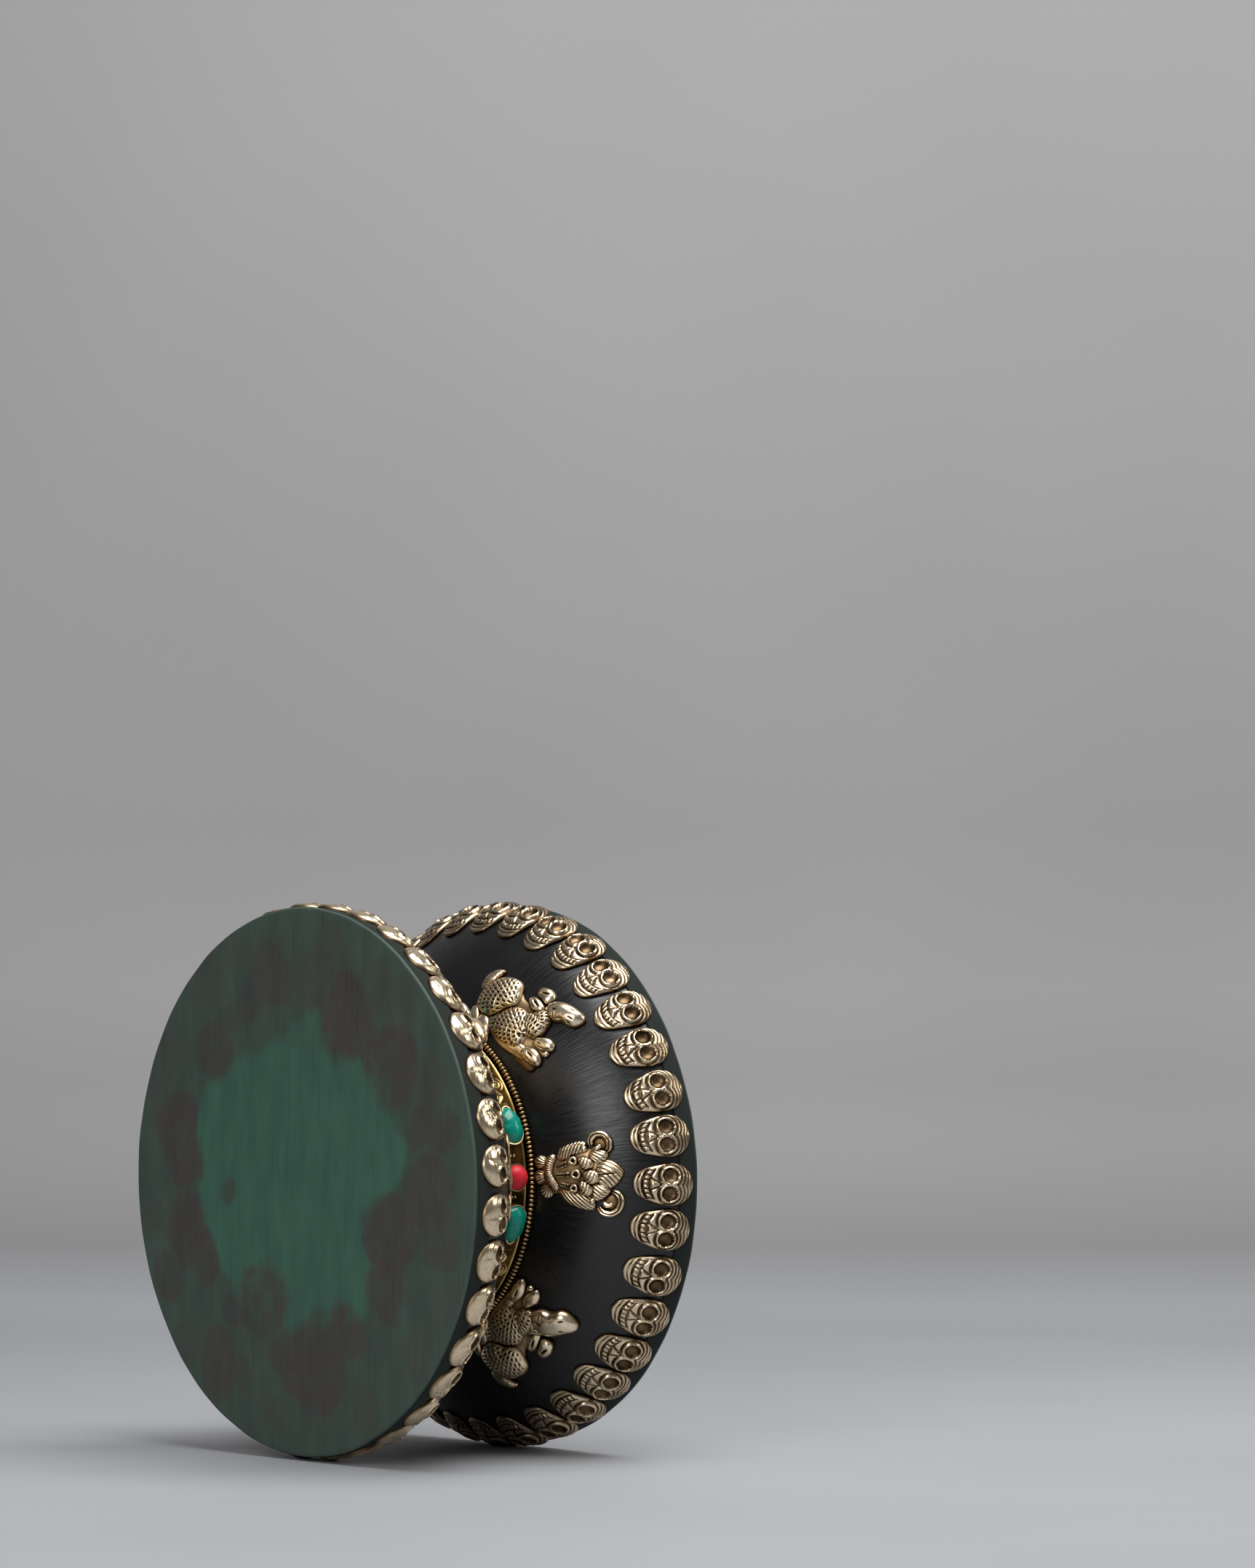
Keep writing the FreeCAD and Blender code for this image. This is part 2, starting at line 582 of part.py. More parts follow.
def buildDrum():
    doc = FreeCAD.newDocument("Damaru")
    s = makeSheet(doc)
    nodes = []
    for side in ("left", "right"):
        nodes.append(makeBowl(doc, side))
        nodes.append(makeHead(doc, s, side))
        nodes.append(makeWire(doc, side))
    nodes.append(makeSleeve(doc, "waist_tenon", "Sizes.tenonRadius", "Sizes.tenonBore",
                            "2 * (Sizes.woodHalfLength - Sizes.cavityDepth)"))
    bandLength = "2 * (%s - Sizes.bandSideGap)" % fromExpression(bandTop)
    nodes.append(makeSleeve(doc, "waist_band", bandTop, "Sizes.waistRadius + Sizes.fitGap", bandLength))
    nodes.append(makeLug(doc, "strap_lug", lugAngle, "Sizes.lugRadius", "Sizes.lugLift",
                         "Sizes.ringWire + Sizes.ringGap")[0])
    nodes.append(makeCordEye(doc, "striker_cord_eye_upper", lugAngle - cordEyeTurn))
    nodes.append(makeCordEye(doc, "striker_cord_eye_lower", lugAngle + cordEyeTurn))
    nodes.append(makeRing(doc, s))
    seat = makeSeat(s)
    nodes.extend(makeSkulls(doc, s, seat))
    nodes.extend(makeFigures(doc, s, seat))
    nodes.extend(makeStones(doc, s))
    doc.recompute()
    return doc, nodes


def checkAndWrite(doc, nodes):
    for thing in doc.Objects:
        if "Invalid" in thing.State or "Error" in thing.State:
            raise RuntimeError("%s failed: %s" % (thing.Label, thing.State))
    for node in nodes:
        if node.Shape.isNull() or not node.Shape.isValid():
            raise RuntimeError("%s has no valid shape" % node.Label)
    os.makedirs("parts", exist_ok=True)
    for node in nodes:
        node.Shape.exportStep("parts/%s.step" % node.Label)
        box = node.Shape.BoundBox
        print("%-26s %3d solids  volume %10.1f  x %7.2f to %7.2f  z %7.2f to %7.2f" % (
            node.Label, len(node.Shape.Solids), node.Shape.Volume, box.XMin, box.XMax, box.ZMin, box.ZMax))


document, pieces = buildDrum()
checkAndWrite(document, pieces)
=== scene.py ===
import math
import random
from functools import partial

import bpy
import numpy as np
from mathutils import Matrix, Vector


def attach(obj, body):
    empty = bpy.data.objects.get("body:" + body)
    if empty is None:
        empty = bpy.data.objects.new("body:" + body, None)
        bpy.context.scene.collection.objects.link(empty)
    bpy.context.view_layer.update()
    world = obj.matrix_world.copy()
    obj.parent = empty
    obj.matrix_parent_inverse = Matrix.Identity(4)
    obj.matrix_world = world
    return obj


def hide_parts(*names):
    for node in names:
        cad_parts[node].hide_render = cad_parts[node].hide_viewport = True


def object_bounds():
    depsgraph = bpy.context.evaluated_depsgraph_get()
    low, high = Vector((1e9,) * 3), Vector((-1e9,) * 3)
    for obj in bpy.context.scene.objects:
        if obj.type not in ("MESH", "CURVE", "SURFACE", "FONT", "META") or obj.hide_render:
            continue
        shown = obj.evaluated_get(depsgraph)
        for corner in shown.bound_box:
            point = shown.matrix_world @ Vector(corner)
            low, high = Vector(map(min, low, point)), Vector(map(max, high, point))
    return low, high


# A ritual hand drum. X is the drum's axis, Z is up, and the camera looks along +Y.
# Lengths are in millimetres here and become metres when a mesh is placed.

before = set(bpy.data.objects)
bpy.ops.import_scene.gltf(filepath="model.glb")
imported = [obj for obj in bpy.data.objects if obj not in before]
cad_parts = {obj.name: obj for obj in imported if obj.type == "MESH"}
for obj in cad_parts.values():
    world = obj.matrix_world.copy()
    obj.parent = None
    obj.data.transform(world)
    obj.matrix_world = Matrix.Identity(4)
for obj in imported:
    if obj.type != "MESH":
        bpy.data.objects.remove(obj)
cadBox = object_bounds()
mm = 0.001
random.seed(11)
print("frame loaded with", len(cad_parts), "nodes")


def linear(code):
    # an sRGB hex value as the linear colour that a socket takes
    parts = [int(code[place:place + 2], 16) / 255 for place in (1, 3, 5)]
    return [part / 12.92 if part <= 0.04045 else ((part + 0.055) / 1.055) ** 2.4 for part in parts] + [1]


def addNode(material, kind, inputs=None, stops=None, **settings):
    # one node with its settings, its input values or links, and a ramp's stops
    made = material.node_tree.nodes.new("ShaderNode" + kind)
    for key, value in settings.items():
        setattr(made, key, value)
    for key, value in (inputs or {}).items():
        if isinstance(value, bpy.types.Node):
            value = value.outputs[0]
        if isinstance(value, bpy.types.NodeSocket):
            material.node_tree.links.new(value, made.inputs[key])
        else:
            made.inputs[key].default_value = value
    for count, (place, colour) in enumerate(stops or []):
        points = made.color_ramp.elements
        point = points[count] if count < 2 else points.new(place)
        point.position = place
        point.color = linear(colour)
    return made


def newMaterial(name):
    # an empty material, and the function that adds a node to it
    made = bpy.data.materials.new(name)
    made.use_nodes = True
    made.node_tree.nodes.clear()
    return made, partial(addNode, made)


def selectOnly(*pieces):
    bpy.ops.object.select_all(action="DESELECT")
    for piece in pieces:
        piece.select_set(True)
    bpy.context.view_layer.objects.active = pieces[0]


def pointsOf(piece):
    flat = np.empty(len(piece.data.vertices) * 3)
    piece.data.vertices.foreach_get("co", flat)
    return flat.reshape(-1, 3)


def movePoints(piece, points):
    piece.data.vertices.foreach_set("co", np.ascontiguousarray(points, dtype=float).ravel())
    piece.data.update()


def setWear(piece, wear):
    # how far each point is rubbed bright: 1 on the high places, 0 in the chased lines
    layer = piece.data.attributes.get("wear") or piece.data.attributes.new("wear", "FLOAT", "POINT")
    layer.data.foreach_set("value", np.ascontiguousarray(wear, dtype=np.float32))


def named(piece, name):
    piece.name = name
    piece.data.name = name
    return piece


def joined(name, pieces):
    selectOnly(*pieces)
    if len(pieces) > 1:
        bpy.ops.object.join()
    return named(bpy.context.object, name)


def ownCopy(piece):
    # a copy with its own mesh
    made = piece.copy()
    made.data = piece.data.copy()
    bpy.context.collection.objects.link(made)
    return made


def closeUp(piece, angle=50):
    # merges doubles, turns the faces outwards and smooths them
    selectOnly(piece)
    bpy.ops.object.mode_set(mode="EDIT")
    bpy.ops.mesh.select_all(action="SELECT")
    bpy.ops.mesh.remove_doubles(threshold=0.000002)
    bpy.ops.mesh.normals_make_consistent(inside=False)
    bpy.ops.object.mode_set(mode="OBJECT")
    bpy.ops.object.shade_smooth_by_angle(angle=math.radians(angle))
    return piece


def finishPiece(piece, body, slotName, material, *replaced):
    piece.data.materials.clear()
    piece.data.materials.append(material)
    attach(piece, body)
    if replaced:
        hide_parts(*replaced)
    return piece


drum = {
    "halfLength": 59.2,      # centre to the rim face of the wood
    "rimRadius": 114.2,      # the wood at the rim
    "flankDepth": 59.2,      # the flank is a quarter ellipse of this depth
    "waistRadius": 64.6,
    "waistHalf": 10.36,
    "joint": 44.0,           # a ring of points halfway across the joint's face
    "boreRadius": 24.0,
    "cavityDepth": 46.0,
    "rimWall": 6.0,
    "rimRounding": 0.5,
    "steps": 288,
    "mapRadius": 90.0,       # where the flank's map is true to size
}

turns = np.linspace(0, math.pi / 2, 3000)
steps = np.hypot(drum["flankDepth"] * np.cos(turns), drum["rimRadius"] * np.sin(turns)) * (turns[1] - turns[0])
runs = np.concatenate([[0], np.cumsum((steps[1:] + steps[:-1]) / 2)])


def flankAt(inset, lift):
    # axial place and radius at a distance down the flank from the rim face, lifted off the wood
    turn = np.interp(inset, runs, turns)
    across = drum["flankDepth"] * np.cos(turn)
    out = drum["rimRadius"] * np.sin(turn)
    speed = np.hypot(across, out)
    axial = drum["halfLength"] - drum["flankDepth"] * np.sin(turn) - lift * out / speed
    radius = drum["rimRadius"] * np.cos(turn) + lift * across / speed
    return axial, radius


def onFlank(place, u, v, lift):
    # local lengths, u towards the rim and v round the drum, to metres in the frame
    lean = math.radians(place["lean"])
    v = v * place["flip"]
    along = u * math.cos(lean) - v * math.sin(lean)
    around = u * math.sin(lean) + v * math.cos(lean)
    inset = place["inset"] - along
    angle = math.radians(place["angle"]) + around / flankAt(inset, 0)[1]
    axial, radius = flankAt(inset, lift * place.get("press", 1.0))
    return np.stack([axial, -radius * np.cos(angle), radius * np.sin(angle)], 1) * mm


def turnedSection(name, section, steps=None):
    # a closed outline of (axial, radius) points, spun round the drum's axis
    bpy.ops.object.select_all(action="DESELECT")
    bpy.ops.mesh.primitive_circle_add(vertices=len(section), radius=mm)
    piece = bpy.context.object
    section = np.array(section)
    movePoints(piece, np.stack([section[:, 0], -section[:, 1], section[:, 0] * 0], 1) * mm)
    bpy.ops.object.mode_set(mode="EDIT")
    bpy.ops.mesh.select_all(action="SELECT")
    bpy.ops.mesh.spin(steps=steps or drum["steps"], angle=math.tau, center=(0, 0, 0), axis=(1, 0, 0))
    bpy.ops.mesh.select_all(action="SELECT")
    bpy.ops.mesh.remove_doubles(threshold=0.000005)
    bpy.ops.mesh.dissolve_degenerate(threshold=0.0000005)
    bpy.ops.object.mode_set(mode="OBJECT")
    return named(piece, name)


def laidOut(piece):
    # a map in millimetres: round the drum, and along its profile
    points = pointsOf(piece) / mm
    radius = np.hypot(points[:, 1], points[:, 2])
    angle = np.arctan2(points[:, 2], -points[:, 1])
    layer = piece.data.uv_layers.new(name="flank")
    corners = np.empty(len(piece.data.loops), dtype=np.int32)
    piece.data.loops.foreach_get("vertex_index", corners)
    around = angle[corners]
    first = np.empty(len(piece.data.polygons), dtype=np.int32)
    total = np.empty(len(piece.data.polygons), dtype=np.int32)
    piece.data.polygons.foreach_get("loop_start", first)
    piece.data.polygons.foreach_get("loop_total", total)
    anchor = np.repeat(around[first], total)
    around = around + math.tau * np.round((anchor - around) / math.tau)
    along = np.abs(points[:, 0]) + (radius - drum["waistRadius"])
    flat = np.stack([around * drum["mapRadius"], along[corners]], 1)
    layer.data.foreach_set("uv", flat.ravel())


def makeLacquer():
    # black lacquer over turned hardwood, brushed on by hand: deep black with a satin gloss that
    # fine drag marks and a few pits break up
    material, add = newMaterial("blackLacquer")
    place = add("UVMap", uv_map="flank")
    solid = add("TexCoord").outputs["Object"]
    # drag marks about 0.5 mm wide and 12 mm long, which lean a little off the profile
    lean = add("Mapping", {"Vector": place, "Rotation": (0, 0, 0.32), "Scale": (1.6, 0.085, 1)})
    drag = add("TexNoise", {"Vector": lean, "Scale": 1.0, "Detail": 3.0})
    cross = add("Mapping", {"Vector": place, "Rotation": (0, 0, -0.18), "Scale": (0.9, 0.05, 1)})
    broad = add("TexNoise", {"Vector": cross, "Scale": 1.0, "Detail": 2.0})
    haze = add("TexNoise", {"Vector": solid, "Scale": 38.0, "Detail": 3.0})
    grit = add("TexNoise", {"Vector": solid, "Scale": 900.0, "Detail": 2.0})
    tone = add("ValToRGB", {0: haze}, [(0.3, "#070707"), (0.72, "#141314")])
    dust = add("ValToRGB", {0: grit}, [(0.72, "#000000"), (0.8, "#5a5652")])
    colour = add("Mix", {0: 0.35, 6: tone, 7: dust}, data_type="RGBA", blend_type="ADD")
    gloss = add("MapRange", {0: broad, 1: 0.3, 2: 0.7, 3: 0.24, 4: 0.4})
    height = add("Mix", {0: 0.4, 2: drag, 3: broad})
    bump = add("Bump", {"Height": height, "Strength": 0.8, "Distance": 0.00026})
    fine = add("Bump", {"Height": grit, "Strength": 0.2, "Distance": 0.0001, "Normal": bump})
    shader = add("BsdfPrincipled", {"Base Color": colour.outputs[2], "Roughness": gloss,
                                    "Normal": fine, "IOR": 1.5})
    add("OutputMaterial", {0: shader})
    return material


# soft round dabs on the green skin: (across, up, radius, cover) in millimetres
dabs = {
    "brown": [
        (-28, 70, 23, 1.0), (-6, 84, 15, 0.6), (22, 86, 18, 0.8), (34, 76, 13, 0.7), (-18, 96, 14, 0.45),
        (-50, 84, 13, 0.45), (-62, 52, 22, 0.95), (-48, 56, 12, 0.9), (-84, 40, 16, 0.6), (-70, 78, 14, 0.35),
        (60, 54, 17, 0.8), (50, 66, 11, 0.5), (88, 22, 19, 1.0), (78, 6, 15, 1.0), (100, 40, 10, 0.45),
        (70, 84, 17, 0.4), (94, 54, 14, 0.4), (46, 98, 12, 0.35), (80, -22, 19, 1.0), (66, -34, 13, 0.9),
        (96, -44, 13, 0.8), (50, -8, 8, 0.6), (104, -16, 9, 0.4), (28, -50, 20, 0.85), (44, -56, 12, 0.8),
        (58, -80, 18, 0.9), (40, -84, 10, 0.6), (80, -72, 12, 0.4), (-30, -62, 17, 0.95), (-8, -78, 27, 1.0),
        (12, -70, 13, 0.8), (-56, -42, 15, 0.9), (-62, -22, 20, 1.0), (-50, -26, 9, 0.9), (-84, -4, 19, 0.9),
        (-94, 20, 13, 0.75), (-80, 24, 12, 0.9), (-92, -22, 15, 0.7), (-76, -66, 14, 0.4), (-96, -46, 11, 0.35),
        (-44, -92, 12, 0.4), (20, -100, 11, 0.4),
    ],
    "centre": [(0, 10, 56, 1.0), (-30, 22, 39, 1.0), (32, 14, 42, 1.0), (42, -12, 30, 1.0), (-20, -32, 33, 1.0),
               (16, -34, 34, 1.0), (-52, 12, 21, 1.0), (56, 26, 19, 1.0), (-8, 54, 20, 0.8)],
}


def makeSkin(name, flip):
    # rawhide stretched over the rim and painted green by hand: matt, with brown dabs round a
    # brighter middle, upright brush lines and a worn pale edge
    material, add = newMaterial(name)
    solid = add("TexCoord").outputs["Object"]
    parts = add("SeparateXYZ", {0: solid})
    side = add("Math", {0: parts.outputs[1], 1: flip}, operation="MULTIPLY")
    flat = add("CombineXYZ", {0: side, 1: parts.outputs[2], 2: 0.0})
    wobble = add("TexNoise", {"Vector": solid, "Scale": 32.0, "Detail": 3.0})
    shift = add("VectorMath", {0: wobble.outputs[1], 1: (0.5, 0.5, 0.5)}, operation="SUBTRACT")
    push = add("VectorMath", {0: shift, "Scale": 0.022}, operation="SCALE")
    moved = add("VectorMath", {0: flat, 1: push}, operation="ADD")
    spread = {}
    for kind, soft in (("brown", 0.62), ("centre", 0.8)):
        total = None
        for across, up, radius, cover in dabs[kind]:
            away = add("VectorMath", {0: moved, 1: (across * mm, up * mm, 0)}, operation="DISTANCE")
            dab = add("MapRange", {0: away.outputs["Value"], 1: radius * mm, 2: radius * mm * soft,
                      3: 0.0, 4: cover}, interpolation_type="SMOOTHSTEP")
            if total is None:
                total = dab
            else:
                total = add("Math", {0: total, 1: dab}, operation="MAXIMUM")
        spread[kind] = total
    # brush lines 1 mm apart and 40 mm long, which lean a little off the upright
    lines = add("Mapping", {"Vector": flat, "Rotation": (0, 0, 0.2), "Scale": (1100, 24, 1)})
    brush = add("TexNoise", {"Vector": lines, "Scale": 1.0, "Detail": 3.0})
    wide = add("Mapping", {"Vector": flat, "Rotation": (0, 0, 0.3), "Scale": (90, 34, 1)})
    wash = add("TexNoise", {"Vector": wide, "Scale": 1.0, "Detail": 4.0})
    grain = add("TexNoise", {"Vector": solid, "Scale": 1400.0, "Detail": 2.0})
    grime = add("TexNoise", {"Vector": solid, "Scale": 130.0, "Detail": 5.0})
    green = add("ValToRGB", {0: wash}, [(0.28, "#3c4a42"), (0.72, "#46584c")])
    bright = add("ValToRGB", {0: wash}, [(0.25, "#385a4c"), (0.75, "#426b59")])
    brown = add("ValToRGB", {0: wash}, [(0.25, "#423c3a"), (0.75, "#4b4541")])
    inner = add("Mix", {0: spread["centre"], 6: green, 7: bright}, data_type="RGBA")
    thin = add("MapRange", {0: grime, 1: 0.3, 2: 0.6, 3: 0.55, 4: 1.0})
    cover = add("Math", {0: spread["brown"], 1: thin}, operation="MULTIPLY")
    dabbed = add("Mix", {0: cover, 6: inner.outputs[2], 7: brown}, data_type="RGBA")
    stroke = add("ValToRGB", {0: brush}, [(0.28, "#c4c4c4"), (0.5, "#f4f4f4")])
    combed = add("Mix", {0: 0.5, 6: dabbed.outputs[2], 7: stroke}, data_type="RGBA", blend_type="MULTIPLY")
    # the lap on the flank is nearly black, and the turn of the edge is rubbed pale
    reach = add("VectorMath", {0: flat}, operation="LENGTH")
    depth = add("Math", {0: parts}, operation="ABSOLUTE")
    lap = add("MapRange", {0: depth, 1: 0.0594, 2: 0.0586, 3: 0.0, 4: 0.9})
    dark = add("Mix", {0: lap, 6: combed.outputs[2], 7: linear("#0e1512")}, data_type="RGBA")
    edge = add("MapRange", {0: reach.outputs["Value"], 1: 0.1145, 2: 0.1149, 3: 0.0, 4: 0.45})
    face = add("MapRange", {0: depth, 1: 0.0592, 2: 0.0596, 3: 0.0, 4: 1.0})
    patch = add("MapRange", {0: wobble, 1: 0.45, 2: 0.62, 3: 0.0, 4: 0.55})
    rub = add("Math", {0: edge, 1: face}, operation="MULTIPLY")
    rubbed = add("Math", {0: rub, 1: patch}, operation="MULTIPLY")
    colour = add("Mix", {0: rubbed, 6: dark.outputs[2], 7: linear("#7f9c94")}, data_type="RGBA")
    worn = add("MapRange", {0: wash, 1: 0.2, 2: 0.8, 3: 0.52, 4: 0.68})
    rough = add("Math", {0: worn, 1: lap}, operation="MAXIMUM")
    bump = add("Bump", {"Height": brush, "Strength": 0.35, "Distance": 0.00012})
    tooth = add("Bump", {"Height": grain, "Strength": 0.25, "Distance": 0.0001, "Normal": bump})
    shader = add("BsdfPrincipled", {"Base Color": colour.outputs[2], "Roughness": rough, "Specular IOR Level": 0.35,
                                    "Normal": tooth, "IOR": 1.5})
    add("OutputMaterial", {0: shader})
    return material


def makeGilt(name, low, middle, high, hasWear=True):
    # thin embossed brass with a pale gold wash, rubbed bright on the high places and left brown
    # where dirt and old lacquer lie in the lines; ambient occlusion adds painted shade in hollows and where parts
    # meet
    material, add = newMaterial(name)
    solid = add("TexCoord").outputs["Object"]
    cloud = add("TexNoise", {"Vector": solid, "Scale": 90.0, "Detail": 4.0})
    speck = add("TexNoise", {"Vector": solid, "Scale": 900.0, "Detail": 3.0})
    # painted shade: ambient occlusion within 1.6 mm darkens hollows, the edges under each form and the places where
    # parts meet
    occlusionShade = add("AmbientOcclusion", {"Distance": 0.0016}, samples=8)
    shade = add("MapRange", {0: occlusionShade.outputs[1], 1: 0.35, 2: 0.95, 3: 0.0, 4: 1.0})
    level = shade
    if hasWear:
        wear = add("Attribute", attribute_name="wear").outputs["Fac"]
        level = add("Math", {0: level, 1: wear}, operation="MULTIPLY")
    drift = add("MapRange", {0: cloud, 1: 0.3, 2: 0.7, 3: -0.12, 4: 0.14})
    mixed = add("Math", {0: level, 1: drift}, operation="ADD", use_clamp=True)
    colour = add("ValToRGB", {0: mixed}, [(0.12, low), (0.5, middle), (0.86, high)])
    tarnish = add("ValToRGB", {0: speck}, [(0.3, "#d4c8b6"), (0.6, "#ffffff")])
    tinted = add("Mix", {0: 0.5, 6: colour, 7: tarnish}, data_type="RGBA", blend_type="MULTIPLY")
    rough = add("MapRange", {0: mixed, 1: 0.1, 2: 0.9, 3: 0.5, 4: 0.24})
    bump = add("Bump", {"Height": speck, "Strength": 0.18, "Distance": 0.0001})
    shader = add("BsdfPrincipled", {"Base Color": tinted.outputs[2], "Roughness": rough,
                                    "Normal": bump, "Metallic": 1.0})
    add("OutputMaterial", {0: shader})
    return material


def makeTurquoise():
    # pressed turquoise cut as a cabochon: polished, even blue green, with thin dark veins
    material, add = newMaterial("turquoise")
    solid = add("TexCoord").outputs["Object"]
    bend = add("TexNoise", {"Vector": solid, "Scale": 260.0, "Detail": 3.0})
    pushed = add("VectorMath", {0: bend.outputs[1], "Scale": 0.0035}, operation="SCALE")
    moved = add("VectorMath", {0: solid, 1: pushed}, operation="ADD")
    # cells about 6 mm across, veins about 0.15 mm wide
    cells = add("TexVoronoi", {"Vector": moved, "Scale": 165.0}, feature="DISTANCE_TO_EDGE")
    vein = add("MapRange", {0: cells, 1: 0.0, 2: 0.035, 3: 1.0, 4: 0.0})
    cloud = add("TexNoise", {"Vector": solid, "Scale": 90.0, "Detail": 2.0})
    keep = add("MapRange", {0: cloud, 1: 0.42, 2: 0.58, 3: 0.0, 4: 0.8})
    shown = add("Math", {0: vein, 1: keep}, operation="MULTIPLY")
    tone = add("ValToRGB", {0: cloud}, [(0.3, "#018271"), (0.7, "#039c86")])
    colour = add("Mix", {0: shown, 6: tone, 7: linear("#06332c")}, data_type="RGBA")
    rough = add("MapRange", {0: cloud, 1: 0.3, 2: 0.7, 3: 0.13, 4: 0.2})
    shader = add("BsdfPrincipled", {"Base Color": colour.outputs[2], "Roughness": rough, "IOR": 1.45})
    add("OutputMaterial", {0: shader})
    return material


def makeCoral():
    # dyed coral bead: satin, warm red that varies a little in tone, with very fine pits
    material, add = newMaterial("coral")
    solid = add("TexCoord").outputs["Object"]
    cloud = add("TexNoise", {"Vector": solid, "Scale": 150.0, "Detail": 3.0})
    pits = add("TexNoise", {"Vector": solid, "Scale": 1500.0, "Detail": 1.0})
    tone = add("ValToRGB", {0: cloud}, [(0.3, "#cf1226"), (0.7, "#dc2536")])
    rough = add("MapRange", {0: cloud, 1: 0.3, 2: 0.7, 3: 0.36, 4: 0.46})
    bump = add("Bump", {"Height": pits, "Strength": 0.2, "Distance": 0.00008})
    shader = add("BsdfPrincipled", {"Base Color": tone, "Roughness": rough, "Normal": bump, "IOR": 1.4})
    add("OutputMaterial", {0: shader})
    return material


def makeWood():
    # turned hardwood left bare where the two bowls are joined
    material, add = newMaterial("bareWood")
    solid = add("TexCoord").outputs["Object"]
    # growth rings about 2 mm apart, along the drum's axis
    rings = add("TexWave", {"Vector": solid, "Scale": 160.0, "Distortion": 3.0}, wave_type="RINGS",
                rings_direction="X")
    tone = add("ValToRGB", {0: rings.outputs[1]}, [(0.2, "#6b4a2e"), (0.8, "#8f6a45")])
    bump = add("Bump", {"Height": rings.outputs[1], "Strength": 0.2, "Distance": 0.0002})
    shader = add("BsdfPrincipled", {"Base Color": tone, "Roughness": 0.6, "Normal": bump})
    add("OutputMaterial", {0: shader})
    return material


lacquer = makeLacquer()
skins = {"left": makeSkin("greenSkinLeft", 1.0), "right": makeSkin("greenSkinRight", -1.0)}
gilt = makeGilt("paleGilt", "#2c1d10", "#a48660", "#f3e3c4")
goldSheet = makeGilt("goldSheet", "#33220f", "#a78648", "#ecd497")
skullGilt = makeGilt("skullGilt", "#1c130b", "#7c654a", "#e2d1b2")
giltDark = makeGilt("tarnishedGilt", "#21160d", "#735233", "#c9a878")
giltPlain = makeGilt("paleGiltPlain", "#2e2015", "#7f6846", "#d2bd92", hasWear=False)
turquoise = makeTurquoise()
coral = makeCoral()
wood = makeWood()
print("materials made")


def makeBowl(side):
    half = drum["halfLength"]
    # down the flank from the rim to the waist
    insets = np.linspace(0.3, 110, 800)
    places = [flankAt(inset, 0) for inset in insets]
    last = next(count for count, place in enumerate(places) if place[1] <= drum["waistRadius"])
    picked = [places[count] for count in np.linspace(0, last, 46).astype(int)]
    section = [(half, drum["rimRadius"] - drum["rimRounding"])] + [tuple(map(float, place)) for place in picked]
    section[-1] = (drum["waistHalf"], drum["waistRadius"])
    section += [(drum["waistHalf"] / 2, drum["waistRadius"]), (0.0, drum["waistRadius"])]
    section += [(0.0, drum["joint"]), (0.0, drum["boreRadius"])]
    # back through the bore and up the hollow to the rim
    inner = drum["rimRadius"] - drum["rimWall"]
    floorAt = half - drum["cavityDepth"]
    section += [(floorAt * 0.5, drum["boreRadius"]), (floorAt + 1.5, drum["boreRadius"])]
    for turn in np.linspace(0.25, 1.0, 14) * math.pi / 2:
        section.append((half - drum["cavityDepth"] * math.cos(turn), max(drum["boreRadius"], inner * math.sin(turn))))
    section = section[::-1]
    if side == "left":
        section = [(-axial, radius) for axial, radius in section]
    piece = turnedSection("bowl_" + side, section)
    closeUp(piece, 35)
    laidOut(piece)
    return finishPiece(piece, "drum", "lacquered_wood", lacquer, "bowl_" + side)


skin = {
    "halfLength": 60.0,
    "radius": 115.0,
    "thickness": 0.8,
    "lap": 8.0,
    "corner": 0.9,          # rounding at the turn of the rim
    "flat": 113.2,          # the flat part ends here
    "sagRadius": 113.0,
    "sag": 0.25,            # how far the middle lies in
    "dent": 0.1,
    "wobble": 0.32,         # unevenness of the hand cut edge
}


